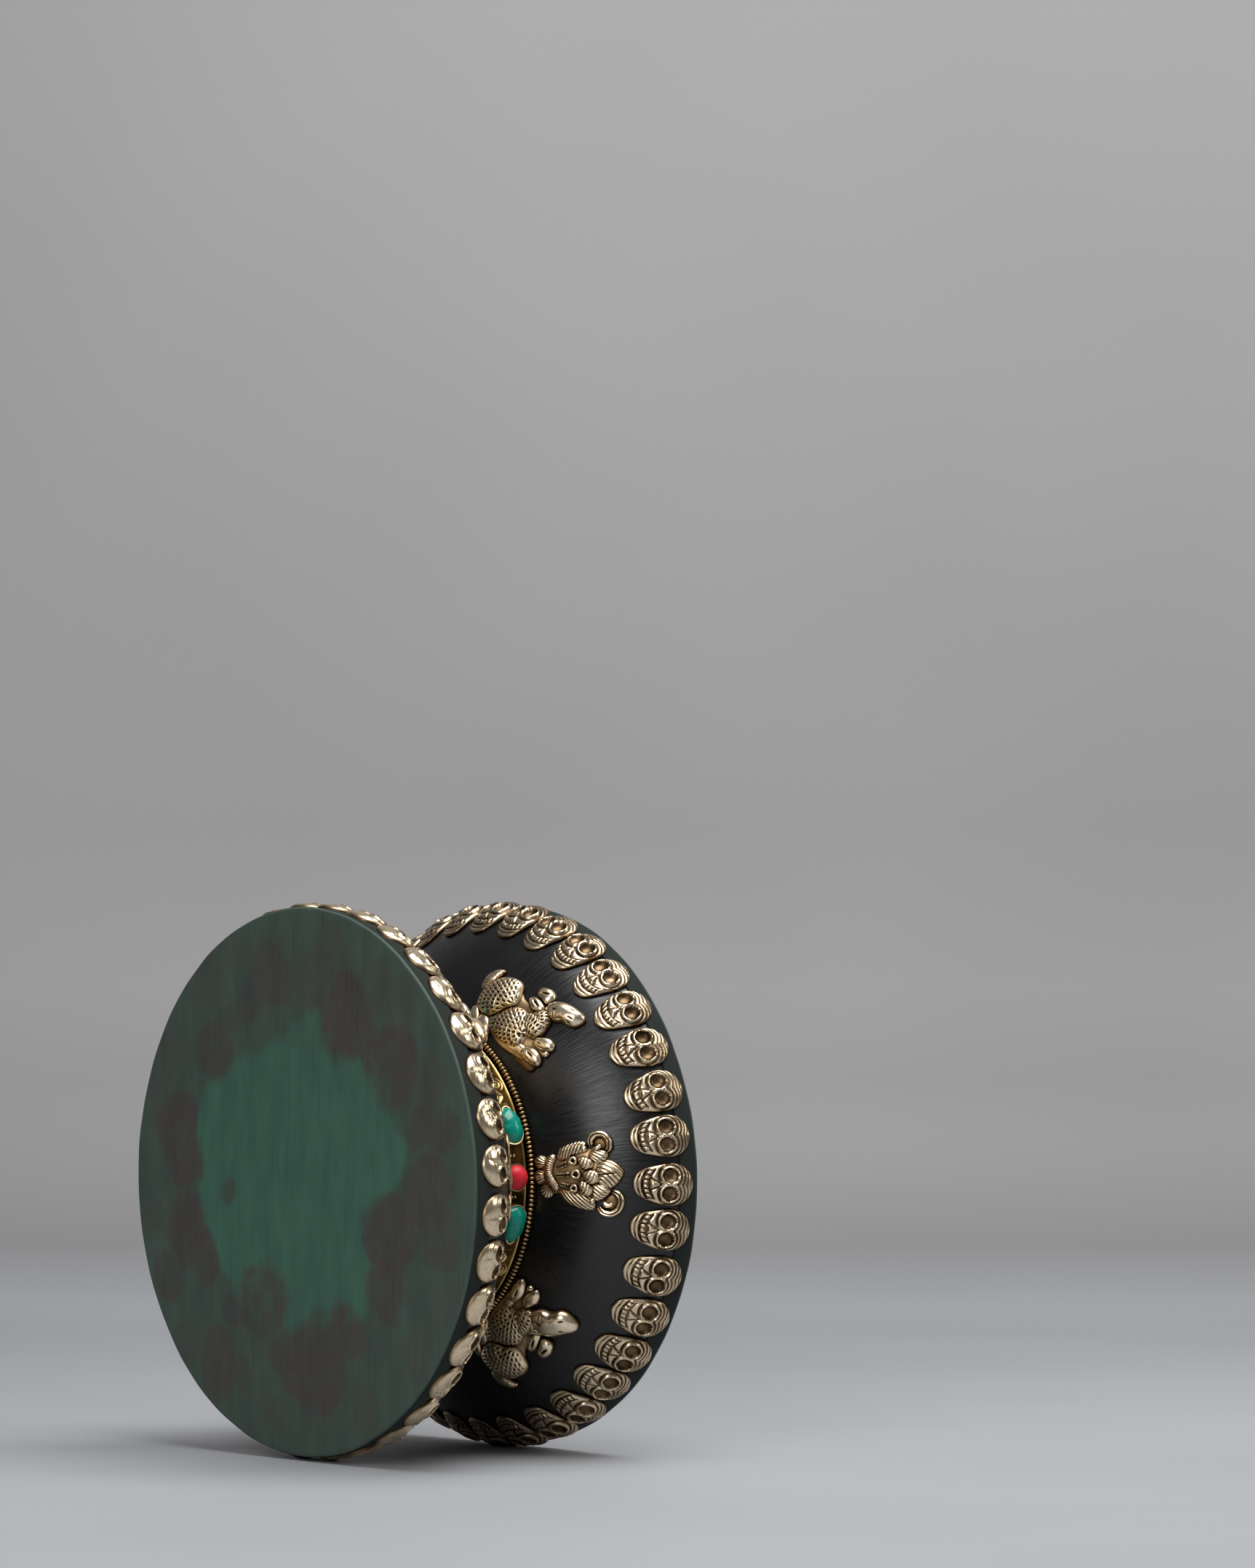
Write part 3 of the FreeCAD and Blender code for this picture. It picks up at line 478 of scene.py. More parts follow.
def makeHead(side):
    corner = skin["corner"]
    face = skin["halfLength"]

    def sagged(level, radius):
        return level - skin["sag"] * (1 - (radius / skin["sagRadius"]) ** 2), radius

    section = [sagged(face, radius) for radius in np.linspace(0, skin["flat"], 30)]
    for turn in np.linspace(0.15, 1, 7):
        section.append((face - corner + corner * math.cos(turn * math.pi / 2),
                        skin["radius"] - corner + corner * math.sin(turn * math.pi / 2)))
    for inset in np.linspace(1.2, skin["lap"], 8):
        section.append(tuple(map(float, flankAt(inset, skin["thickness"] + 0.02))))
    section.append(tuple(map(float, flankAt(skin["lap"] + 0.25, skin["thickness"] * 0.45))))
    section.append(tuple(map(float, flankAt(skin["lap"] + 0.2, 0.02))))
    for inset in np.linspace(skin["lap"] - 1, 0.6, 5):
        section.append(tuple(map(float, flankAt(inset, 0.02))))
    section += [sagged(face - skin["thickness"], radius) for radius in np.linspace(skin["flat"], 0, 12)]
    if side == "left":
        section = [(-axial, radius) for axial, radius in section]
    piece = turnedSection("head_" + side, section)
    points = pointsOf(piece) / mm
    radius = np.hypot(points[:, 1], points[:, 2])
    angle = np.arctan2(points[:, 2], points[:, 1])
    rng = np.random.default_rng(5 if side == "left" else 9)
    swing = sum(np.sin(angle * pace + rng.uniform(0, 6.28)) * share
                for pace, share in ((3, 0.3), (7, 0.3), (13, 0.25), (22, 0.2), (37, 0.15)))
    near = np.clip((radius - 109) / 5, 0, 1) * (np.abs(points[:, 0]) > 58)
    points[:, 1:] *= (1 - near * skin["wobble"] * (swing + 0.9) / 115)[:, None]
    # shallow dents in the flat of the skin
    y, z = points[:, 1], points[:, 2]
    dents = (np.sin(y * 0.11 + 1) + np.sin(z * 0.13) + np.sin((y + z) * 0.05)) / 3
    calm = (np.abs(points[:, 0]) > 58.5) * np.clip((112 - radius) / 12, 0, 1)
    points[:, 0] += np.sign(points[:, 0]) * skin["dent"] * (dents - 1) * calm
    movePoints(piece, points * mm)
    closeUp(piece, 60)
    return finishPiece(piece, "drum", "painted_skin", skins[side], "head_" + side)


for side in ("left", "right"):
    makeBowl(side)
    makeHead(side)
print("bowls and heads made")


# what the embossed forms start from, in millimetres
clay = {
    "low": 0.8,              # height of a form's edge above the wood
    "under": 0.12,           # height of its underside
    "detail": 0.42,          # mesh width
    "hidden": 0.1,           # how bright the underside is
}
# chased lines and punched strokes
chase = {
    "line": 0.26,
    "leastLine": 0.4,        # how bright a line's bottom stays
    "stroke": 0.34,
    "leastStroke": 0.06,
    "strokeEnd": 0.74,       # how far a stroke reaches across its row
    "slip": 0.37,            # how far the strokes of the next row are shifted
}


def clayBall(segments, rings):
    # a ball whose points are later laid over a form: its polar share runs 0 to 1
    bpy.ops.object.select_all(action="DESELECT")
    bpy.ops.mesh.primitive_uv_sphere_add(segments=segments, ring_count=rings, radius=1)
    ball = bpy.context.object
    points = pointsOf(ball)
    polar = np.arccos(np.clip(points[:, 2], -1, 1)) / math.pi
    return ball, polar, np.arctan2(points[:, 1], points[:, 0])


def circleOf(middle, radius, count):
    turns = np.linspace(0, math.tau, count + 1)[:-1]
    return [(middle[0] + radius * math.cos(turn), middle[1] + radius * math.sin(turn)) for turn in turns]


def reachOf(outline, centre):
    # the directions and distances of an outline's points from a middle, in order round it
    away = outline - np.array(centre)
    angles = np.arctan2(away[:, 1], away[:, 0])
    order = np.argsort(angles)
    return angles[order], np.hypot(away[:, 0], away[:, 1])[order]


def eased(a, b, c, d, t):
    # the curve from b to c that a and d lead into
    return 0.5 * (2 * b + (c - a) * t + (2 * a - 5 * b + 4 * c - d) * t ** 2 + (3 * b - a - 3 * c + d) * t ** 3)


def smoothLoop(points, count):
    # a smooth closed line through the points
    points = np.array(points, float)
    spans = len(points)
    at = np.linspace(0, spans, count, endpoint=False)
    first = at.astype(int)
    t = (at - first)[:, None]
    return eased(*(points[(first + shift) % spans] for shift in (-1, 0, 1, 2)), t)


def smoothLine(points, at):
    # a smooth open line through the points, at shares 0 to 1
    points = np.array(points, float)
    padded = np.vstack([2 * points[0] - points[1], points, 2 * points[-1] - points[-2]])
    spans = len(points) - 1
    at = np.clip(at, 0, 1) * spans
    first = np.minimum(at.astype(int), spans - 1)
    t = (at - first)[:, None]
    return eased(*(padded[first + shift] for shift in (0, 1, 2, 3)), t)


def lineAt(away, width):
    # 1 on a line, falling to 0 beside it
    return np.exp(-(away / width) ** 2)


def offLine(count):
    # how far a running count is from its nearest whole number
    return np.abs(count - np.round(count))


def chased(marks, u, v):
    # chased lines and punched strokes: how deep they go and how bright they leave the metal
    lift = np.zeros_like(u)
    wear = np.ones_like(u)
    for mark in marks or []:
        kind, cu, cv, pitch, deep = mark[:5]
        away = np.hypot(u - cu, v - cv)
        angle = np.arctan2(v - cv, u - cu)
        if kind == "rings":
            ridge = 1 - lineAt(offLine(away / pitch) * pitch, chase["line"])
        elif kind == "fan":
            beside = offLine(np.degrees(angle) / pitch) * math.radians(pitch) * away
            ridge = 1 - lineAt(beside, chase["line"])
        elif kind == "rows":
            # rounded rows, each crossed by short punched strokes
            row = np.floor(away / pitch) + 0.5
            across = np.abs(away / pitch - row) * 2
            stroke = offLine(angle * row * pitch / mark[5] + row * chase["slip"]) * mark[5]
            cut = lineAt(stroke, chase["stroke"]) * np.clip((chase["strokeEnd"] - across) * 6, 0, 1)
            ridge = (1 - across ** 6 * 0.3) * (1 - cut)
        elif kind == "slit":
            # one short stroke: pitch is its half length, the last value its direction
            turn = math.radians(mark[5])
            along = (u - cu) * math.cos(turn) + (v - cv) * math.sin(turn)
            across = -(u - cu) * math.sin(turn) + (v - cv) * math.cos(turn)
            ridge = 1 - np.exp(-(along / pitch) ** 4 - (across / mark[6]) ** 2)
        lift -= deep * (1 - ridge)
        least = chase["leastLine"] if kind in ("rings", "fan") else chase["leastStroke"]
        wear = np.minimum(wear, least + (1 - least) * ridge)
    return lift, wear


def dome(place, form):
    # a bulging form inside an outline, from its low edge to its high middle
    low = form.get("low", clay["low"])
    outline = smoothLoop(form["outline"], 360)
    centre = np.array(form.get("centre", outline.mean(0)))
    angles, radii = reachOf(outline, centre)
    pitch = form.get("detail", clay["detail"])
    reach = radii.mean()
    rings = int(reach / pitch) + 6
    ball, polar, angle = clayBall(max(16, int(math.tau * reach * 0.8 / pitch)), rings)
    edge = (rings - 3) / rings
    radius = np.interp(angle, angles, radii, period=math.tau)
    top = polar <= edge + 1e-6
    below = np.clip((1 - polar) * rings / 3 * 1.5, 0, 1) * 0.99
    share = np.where(top, 1 - (1 - np.clip(polar / edge, 0, 1)) ** 1.3, below)
    u = centre[0] + radius * share * np.cos(angle)
    v = centre[1] + radius * share * np.sin(angle)
    swell = np.clip(1 - share ** form.get("steep", 2.9), 0, 1) ** form.get("soft", 0.5)
    lift, wear = chased(form.get("marks"), u, v)
    rim = form.get("smooth", 1.0)
    fade = np.clip((rim - share) / 0.06, 0, 1) if rim < 1 else np.clip((1.02 - share) / 0.1, 0, 1)
    height = low + (form["high"] - low) * swell + lift * fade * np.clip(swell * 3, 0, 1)
    height = np.where(top, height, form.get("under", clay["under"]))
    wear = 1 - (1 - wear) * fade
    wear = np.where(top, wear * (0.25 + 0.75 * np.clip(swell * 1.6, 0, 1)), clay["hidden"]) * form.get("bright", 1.0)
    movePoints(ball, onFlank(place, u, v, height))
    setWear(ball, wear)
    return ball


def strip(place, form):
    # a rounded band that follows a line of (u, v, half width, height)
    low = form.get("low", clay["low"])
    pitch = form.get("detail", clay["detail"])
    line = np.array(form["line"], float)
    length = np.hypot(*np.diff(line[:, :2], axis=0).T).sum()
    ball, polar, angle = clayBall(form.get("round", 18), max(8, int(length / pitch)))
    near = smoothLine(line, polar)
    ahead = smoothLine(line, polar + 0.004)[:, :2] - smoothLine(line, polar - 0.004)[:, :2]
    ahead /= np.maximum(np.hypot(ahead[:, 0], ahead[:, 1]), 1e-9)[:, None]
    end = np.minimum(polar, 1 - polar) * length / max(form.get("cap", 1.0), 1e-6)
    cap = np.sqrt(np.clip(1 - np.clip(1 - end, 0, 1) ** 2, 0, 1))
    across = np.cos(angle) * near[:, 2] * cap
    up = np.sin(angle)
    u = near[:, 0] - ahead[:, 1] * across
    v = near[:, 1] + ahead[:, 0] * across
    ridge = np.ones_like(u)
    if "stripes" in form:
        ridge *= np.abs(np.sin(polar * length / form["stripes"] * math.pi)) ** 0.6
    if "groove" in form:
        ridge *= 1 - np.exp(-((np.cos(angle) * near[:, 2] - form["groove"]) / 0.28) ** 2)
    swell = np.clip(up, 0, 1) ** form.get("soft", 0.7)
    height = low + (near[:, 3] - low) * swell * (0.35 + 0.65 * cap)
    height = height - form.get("deep", 0.35) * (1 - ridge) * swell
    height = np.where(up >= -0.01, height, clay["under"])
    wear = np.where(up >= -0.01, (0.3 + 0.7 * swell) * (0.1 + 0.9 * ridge), clay["hidden"]) * form.get("bright", 1.0)
    movePoints(ball, onFlank(place, u, v, height))
    setWear(ball, wear)
    return ball


def ringForm(place, form):
    # a round collar or ring end standing on the figure
    bpy.ops.object.select_all(action="DESELECT")
    bpy.ops.mesh.primitive_torus_add(major_segments=28, minor_segments=10, major_radius=form["radius"],
                                     minor_radius=form["wire"])
    ring = bpy.context.object
    points = pointsOf(ring)
    height = form["high"] - form["wire"] + points[:, 2]
    movePoints(ring, onFlank(place, points[:, 0] + form["at"][0], points[:, 1] + form["at"][1], height))
    setWear(ring, 0.35 + 0.65 * np.clip(points[:, 2] / form["wire"], 0, 1))
    return ring


def buildFigure(name, place, forms):
    makers = {"dome": dome, "strip": strip, "ring": ringForm}
    return joined(name, [makers[form.get("make", "dome")](place, form) for form in forms])


def copied(piece, name, mirror, turn):
    # a copy mirrored to the other bowl and turned round the axis
    made = named(ownCopy(piece), name)
    points = pointsOf(made)
    if mirror:
        points[:, 0] *= -1
    c, s = math.cos(math.radians(turn)), math.sin(math.radians(turn))
    y, z = points[:, 1].copy(), points[:, 2].copy()
    points[:, 1] = y * c - z * s
    points[:, 2] = y * s + z * c
    movePoints(made, points)
    return made


deerForms = [
    # dark sheet that ties the forms together
    {"high": 1.9, "bright": 0.6, "detail": 1.0, "outline": [
        (-12, -22), (-13, -8), (-12, 8), (-14, 12), (-8, 20), (2, 24), (11, 20), (13, 10), (8, 2), (8, -9),
        (7, -15), (1, -18), (-1, -23), (-6, -24)]},
    {"make": "strip", "low": 0.5, "cap": 1.2, "soft": 0.8, "detail": 0.5, "stripes": 1.15, "deep": 0.3,
     "line": [(3.6, 23.2, 1.2, 1.6), (6.5, 24.4, 2.8, 2.4), (9.8, 24.2, 3.2, 2.9), (12.6, 23.0, 2.4, 2.8),
              (14.8, 20.8, 0.7, 1.9)]},
    {"low": 0.9, "high": 3.0, "outline": [
        (-4.8, 23.0), (-3.6, 20.2), (-6.7, 16.8), (-9.9, 14.4), (-13.6, 12.6), (-13.2, 16.6), (-9.1, 21.0)]},
    {"low": 1.0, "high": 5.3, "detail": 0.25, "smooth": 0.9, "steep": 3.0, "soft": 0.55,
     "outline": [(-4.6, 20.4), (-0.6, 22.7), (4.7, 23.0), (9.7, 20.7), (12.8, 16.5), (13.8, 11.5), (12.8, 7.5),
                 (9.8, 5.0), (5.7, 2.6), (2.4, 3.6), (-0.4, 6.4), (-3.3, 7.9), (-5.8, 10.6), (-6.3, 15.2)],
     "marks": [("rows", 3.6, 2.0, 2.4, 0.6, 1.75)]},
    {"low": 0.6, "high": 2.9, "soft": 0.7, "outline": [
        (-9.5, 9.8), (-12.8, 4), (-13.9, -3.5), (-12.6, -12.0), (-10.2, -19.5), (-8, -23.4), (-5.4, -22.6),
        (-5.6, -14), (-7, -4), (-7.6, 6)], "bright": 0.8},
    {"low": 1.0, "high": 5.0, "detail": 0.25, "smooth": 0.95, "steep": 3.0, "soft": 0.56,
     "outline": [(-7.4, 11.1), (-2.6, 7.9), (1.3, 5.4), (4.2, 1.4), (4.8, -3.2), (4.1, -8.3), (2.6, -11.6),
                 (-1.2, -12.6), (-4.4, -12.0), (-8.7, -11.9), (-11.2, -8.4), (-12.1, -3.8), (-12.0, 1.5),
                 (-10.9, 6.4)],
     "marks": [("rows", -3.2, -9.4, 2.4, 0.6, 1.75)]},
    {"low": 1.2, "high": 5.0, "detail": 0.28, "soft": 0.6,
     "outline": [(3.0, -3.5), (6.0, -6.4), (7.6, -11.0), (7.2, -15.6), (2.9, -17.2), (-1.4, -15.6),
                 (-3.2, -11.8), (-1.6, -7.0)],
     "marks": [("rows", -9.0, -12.0, 2.3, 0.55, 1.7)]},
    {"low": 1.2, "high": 4.9, "detail": 0.3, "outline": [
        (4.4, -7.2), (7.6, -8.0), (10.6, -11.6), (9.6, -15.4), (5.8, -16.8), (2.6, -13.8)],
     "marks": [("rows", -4.0, -5.0, 2.1, 0.5, 1.5)]},
    {"high": 5.4, "soft": 0.58, "detail": 0.34, "under": 0.4, "part": "head", "outline": [
        (8.2, -11.6), (10.2, -9.2), (13.4, -9.4), (16.6, -12.4), (18.7, -17.0), (19.8, -22.2), (20.2, -26.4),
        (18.4, -28.2), (15.0, -27.2), (12.4, -24.6), (11.2, -20.4), (8.8, -16.6)],
     "marks": [("slit", 12.6, -14.6, 1.3, 0.5, 120, 0.55), ("slit", 10.9, -15.9, 0.9, 0.35, 30, 0.22),
               ("slit", 11.6, -16.9, 0.9, 0.35, 30, 0.22),
               ("slit", 14.1, -12.6, 0.8, 0.3, 20, 0.2), ("slit", 15.0, -13.4, 0.8, 0.3, 20, 0.2),
               ("slit", 17.6, -21.4, 1.2, 0.5, 112, 0.3), ("slit", 14.8, -23.4, 1.3, 0.5, 105, 0.3)]},
    {"low": 0.9, "high": 4.4, "detail": 0.34, "outline": [
        (9.2, -0.2), (11.4, -1.6), (11.9, -6.4), (10.4, -10.6), (8.0, -10.8), (6.6, -7.6), (6.8, -3.4)],
     "marks": [("slit", 9.4, -5.4, 2.0, 0.8, 78, 0.42)]},
    {"low": 0.9, "high": 4.2, "detail": 0.34, "outline": [
        (12.9, -1.7), (16.1, -1.0), (18.0, -4.8), (17.6, -8.6), (15.7, -10.6), (12.8, -10.2), (11.4, -9.0),
        (12.0, -5.2)],
     "marks": [("slit", 14.9, -5.6, 2.0, 0.8, 110, 0.42)]},
    {"low": 0.7, "high": 3.3, "outline": [
        (-6.3, 16.0), (-5.7, 12.7), (-8.2, 8.7), (-12.3, 6.6), (-15.9, 7.2), (-16.4, 10.6), (-14.1, 13.5),
        (-9.9, 15.4)],
     "marks": [("slit", -13.4, 8.9, 1.2, 0.4, 20, 0.3)]},
    {"high": 3.7, "outline": [
        (-9.5, -12.4), (-6.0, -13.8), (-3.7, -17.7), (-3.2, -21.7), (-4.7, -24.8), (-7.1, -25.0), (-9.3, -21.7),
        (-10.2, -16.5)],
     "marks": [("slit", -6.6, -18.8, 1.6, 0.8, 95, 0.34)]},
    {"high": 3.5, "outline": [
        (-3.4, -15.6), (-0.7, -15.0), (1.5, -17.6), (3.8, -21.4), (3.7, -24.7), (1.8, -26.2), (-0.9, -24.0),
        (-2.9, -19.8)],
     "marks": [("slit", -1.0, -18.8, 1.1, 0.5, 100, 0.28)]},
    {"low": 0.6, "high": 2.6, "outline": [(-3.0, -22.4), (-0.6, -23.6), (-0.2, -25.6), (-2.8, -25.2)]},
]

deerPlaces = {
    "animal_upper": {"inset": 54.0, "angle": 55.5, "lean": 7.5, "flip": 1},
    "animal_lower": {"inset": 57.4, "angle": -54.2, "lean": 7.5, "flip": -1},
}

maskForms = [
    {"high": 2.4, "bright": 0.6, "detail": 0.6, "outline": [
        (-14, 6), (-12, 9), (-4, 9.5), (6, 11), (12, 9), (16, 6), (19, -1), (15, -8), (10, -12), (3, -12),
        (-5, -7), (-12, -6), (-15, 0)]},
]
for at, pivot, outline in (
        ((-12.8, 7.4), (-8.6, 5.6), [(-15.8, 8.4), (-12.8, 10.4), (-9.8, 8.6), (-9.6, 5.4), (-12, 4.4),
                                     (-15, 4.8)]),
        ((-14.4, 1.4), (-9.4, 1.2), [(-17.2, 2.1), (-15.0, 4.6), (-11.6, 4.0), (-11.0, 0.6), (-12.4, -1.4),
                                     (-15.6, -1.6)]),
        ((-12.2, -4.8), (-8.6, -2.6), [(-15.0, -4.3), (-13.2, -1.8), (-10.2, -2.0), (-8.8, -4.7), (-9.8, -7.4),
                                       (-12.9, -7.8)])):
    maskForms.append({"low": 0.7, "high": 3.0, "detail": 0.26, "outline": outline, "centre": at,
                      "marks": [("fan", pivot[0], pivot[1], 14.0, 0.45)]})
maskForms.append({"make": "strip", "low": 1.2, "cap": 1.4, "detail": 0.2, "round": 20, "stripes": 0.86, "deep": 0.45,
                  "line": [(-5.8, 9.6, 1.6, 3.2), (-7.9, 6.8, 2.0, 3.9), (-9.4, 3.6, 2.0, 4.1),
                           (-9.4, 0.6, 2.0, 4.1), (-8.2, -2.4, 2.0, 3.9), (-6.4, -5.2, 1.6, 3.2)]})
for start, end, wide, ringAt, ringRadius in (
        ((-6.0, 4.0), (-0.4, 5.1), 1.5, (2.3, 5.6), 1.25),
        ((-7.0, 0.8), (-0.4, 0.2), 1.75, (2.5, 0.0), 1.5),
        ((-5.8, -2.6), (-0.9, -4.6), 1.4, (0.9, -5.5), 1.2)):
    alongU, alongV = end[0] - start[0], end[1] - start[1]
    maskForms.append({"make": "strip", "low": 1.4, "cap": 0.8, "round": 20, "bright": 0.75, "detail": 0.4,
                      "groove": 0.0, "deep": 0.5, "line": [(*start, wide * 0.9, 3.0), (*end, wide, 3.7)]})
    # two cords tied across each bar
    length = math.hypot(alongU, alongV)
    for share in (0.68, 0.86):
        u, v = start[0] + alongU * share, start[1] + alongV * share
        outU, outV = alongV / length * wide * 0.95, alongU / length * wide * 0.95
        maskForms.append({"make": "strip", "low": 1.4, "cap": 0.5, "round": 10, "detail": 0.3, "line": [
            (u - outU, v + outV, 0.34, 3.2), (u, v, 0.34, 4.3), (u + outU, v - outV, 0.34, 3.2)]})
    maskForms.append({"low": 1.0, "high": 3.0, "bright": 0.4, "detail": 0.5,
                      "outline": circleOf(ringAt, ringRadius * 1.4, 8)})
    maskForms.append({"make": "ring", "at": ringAt, "radius": ringRadius, "wire": 0.58, "high": 4.3})
maskForms += [
    # feathered wings
    {"high": 3.2, "detail": 0.26, "outline": [
        (-5.8, 7.2), (-3.4, 11.4), (1.7, 13.0), (6.0, 13.4), (8.8, 12.2), (8.6, 9.0), (5.4, 7.8), (0.7, 7.0),
        (-3, 5.8)],
     "marks": [("rings", 30.0, -8.0, 1.25, 0.35)]},
    {"high": 3.2, "detail": 0.26, "outline": [
        (-6.6, -5.0), (-5.2, -9.3), (-0.7, -12.9), (4.0, -15.1), (7.9, -15.6), (8.9, -12.3), (6.1, -9.0),
        (2.1, -7.0), (-2.4, -4.6)],
     "marks": [("rings", 28.0, 12.0, 1.25, 0.35)]},
    {"low": 1.0, "high": 3.4, "outline": [(5.9, 9.8), (7.2, 11.4), (8.9, 10.6), (8.8, 8.8), (7.0, 8.2)]},
    {"low": 1.0, "high": 3.4, "outline": [(6.2, -11.6), (7.3, -10.3), (9.0, -11.2), (8.8, -13.1), (7.0, -13.4)]},
    # crown leaves
    {"low": 0.9, "high": 3.4, "detail": 0.26, "outline": [
        (8.2, 6.8), (10.9, 9.0), (15.1, 8.4), (17.2, 6.6), (15.2, 3.2),
        (11.3, 2.6)], "marks": [("fan", 2.0, 14.0, 5.6, 0.35)]},
    {"low": 0.9, "high": 3.4, "detail": 0.26, "outline": [
        (8.0, -4.6), (10.2, -4.6), (13.2, -5.6), (15.8, -8.8), (13.7, -11.2), (9.9, -12.4), (7.4, -10.6)],
     "marks": [("rings", 22.0, 4.0, 1.3, 0.35)]},
    {"low": 0.9, "high": 4.0, "detail": 0.26, "steep": 2.0, "outline": [
        (10.6, 2.4), (13.2, 4.2), (16.5, 4.2), (19.8, 1.9), (22.0, -2.0), (19.8, -5.6), (16.0, -8.2),
        (12.7, -7.2), (10.0, -5.2), (9.8, -1.4)],
     "marks": [("rings", 9.0, -9.5, 1.6, 0.35), ("slit", 15.5, -1.8, 4.5, 0.5, -4, 0.3)]},
    # petals of the nose and brow
    {"low": 1.2, "high": 4.6, "detail": 0.26, "outline": [
        (3.8, 6.2), (7.0, 7.0), (10.4, 4.6), (10.2, 1.7), (6.6, 0.7),
        (4.1, 2.5)], "marks": [("rings", 4.0, 6.2, 1.6, 0.3)]},
    {"low": 1.2, "high": 4.6, "detail": 0.26, "outline": [
        (2.4, -3.2), (5.6, -2.7), (8.7, -5.7), (8.4, -8.7), (5.9, -10.0),
        (3.0, -7.7)], "marks": [("rings", 2.0, -3.8, 1.6, 0.3)]},
    {"low": 1.4, "high": 5.0, "detail": 0.26, "outline": [
        (4.6, -0.6), (7.5, 1.3), (11.0, 0.4), (12.6, -2.5), (10.7, -5.0),
        (6.9, -4.9)], "marks": [("rings", 4.6, 2.0, 1.7, 0.3)]},
    # curled horns, two ridges each
    {"high": 2.0, "bright": 0.3, "detail": 0.5, "outline": [
        (11.4, 10.6), (12.4, 13.4), (15.0, 14.2), (17.6, 12.6), (17.8, 9.4), (15.0, 8.0)]},
    {"make": "strip", "cap": 0.9, "round": 22, "detail": 0.3, "groove": 0.1, "deep": 0.7,
     "line": [(10.6, 10.6, 1.1, 2.6), (11.2, 13.4, 1.5, 3.4), (13.8, 15.0, 1.5, 3.7), (16.8, 14.4, 1.5, 3.7),
              (18.4, 11.8, 1.5, 3.7), (18.0, 8.8, 1.4, 3.4), (16.2, 7.2, 1.1, 2.6)]},
    {"make": "strip", "cap": 0.8, "round": 12, "detail": 0.35,
     "line": [(11.0, 8.6, 0.9, 2.9), (13.2, 9.3, 1.2, 3.3), (15.2, 10.6, 0.9, 2.9)]},
    {"high": 2.0, "bright": 0.3, "detail": 0.5, "outline": [
        (11.6, -14.0), (14.8, -10.4), (17.6, -10.6), (18.6, -14.0), (16.2, -17.0), (12.8, -16.4)]},
    {"make": "strip", "cap": 0.9, "round": 22, "detail": 0.3, "groove": 0.1, "deep": 0.7,
     "line": [(9.8, -14.6, 1.1, 2.6), (11.6, -17.2, 1.5, 3.4), (14.8, -18.4, 1.6, 3.7), (18.0, -17.2, 1.6, 3.7),
              (19.4, -14.0, 1.6, 3.7), (18.6, -10.8, 1.4, 3.4), (16.4, -9.2, 1.1, 2.6)]},
    {"make": "strip", "cap": 0.8, "round": 12, "detail": 0.35,
     "line": [(12.0, -12.8, 0.9, 2.9), (13.6, -14.8, 1.2, 3.3), (16.2, -14.4, 0.9, 2.9)]},
]
maskPlace = {"inset": 53.7, "angle": 2.3, "lean": 7.5, "flip": 1}

# the lower deer looks straight at the rim: its head is turned about the neck and is a little larger
headTurn = {"pivot": (14.0, -19.0), "angle": 33, "grow": 1.25, "shift": -1.6}


def turnedHead(form):
    if form.get("part") != "head":
        return form
    c, s = math.cos(math.radians(headTurn["angle"])), math.sin(math.radians(headTurn["angle"]))
    u0, v0 = headTurn["pivot"]

    def moved(u, v):
        du, dv = (u - u0) * headTurn["grow"], (v - v0) * headTurn["grow"]
        return u0 + headTurn["shift"] + du * c - dv * s, v0 + du * s + dv * c

    marks = [(kind, *moved(u, v), pitch, deep, turn + headTurn["angle"], wide)
             for kind, u, v, pitch, deep, turn, wide in form["marks"]]
    return {**form, "outline": [moved(u, v) for u, v in form["outline"]], "marks": marks}


figures = {
    "animal_upper": buildFigure("animal_upper", deerPlaces["animal_upper"], deerForms),
    "animal_lower": buildFigure("animal_lower", deerPlaces["animal_lower"], [turnedHead(form) for form in deerForms]),
}
figures["mask"] = buildFigure("mask", maskPlace, maskForms)
# the left bowl's masks are pressed flatter, so that the stones show over them
figures["maskFlat"] = buildFigure("maskFlat", {**maskPlace, "press": 0.42}, maskForms)
for key, master in figures.items():
    closeUp(master, 45)
    kind = "mask" if key == "maskFlat" else key
    for side in {"mask": ("right",), "maskFlat": ("left",)}.get(key, ("right", "left")):
        for facing, turn in (("front", 0), ("back", 180)):
            name = "%s_%s_%s" % (kind, side, facing)
            # the left upper deer lie 5 degrees lower, clear of the skulls
            lower = 5 if side == "left" and kind == "animal_upper" else 0
            made = copied(master, name + "_relief", side == "left", turn + lower)
            closeUp(made, 45)
            finishPiece(made, "drum", "gilt_metal", gilt, name)
    bpy.data.objects.remove(master)
print("deer and masks made")


skull = {
    "length": 26.2,
    "inset": 2.4,
    "count": 36,
    "phase": {"right": 0.0, "left": 5.0},
    "edge": 0.8,             # height of the thin edge above the wood
    "high": 3.9,
    "chin": {"left": 0.38, "right": 0.58},  # the jaw's height as a share of the brow's
    "under": 0.15,
    "eyes": (2.2, 3.7),     # towards the crown, and out from the middle
    "socket": 3.1,
    "depth": 2.1,
    "ring": 3.6,
    "brows": (1.0, 0.95, 0.85, 0.7),
    "browPitch": 1.6,
    "browStart": 0.95,      # outside the eye's ring
    "line": 0.42,           # half width of the ridges' lines
    "thinLine": 0.36,
    "tooth": 1.9,
    "browDepth": {"left": 0.25, "right": 1.0},
    "wave": 0.3,            # how far the thin metal is bent
    "crease": 0.45,
    "crumple": {"left": 2.2, "right": 1.0},
    "along": 51,
    "across": 41,
}
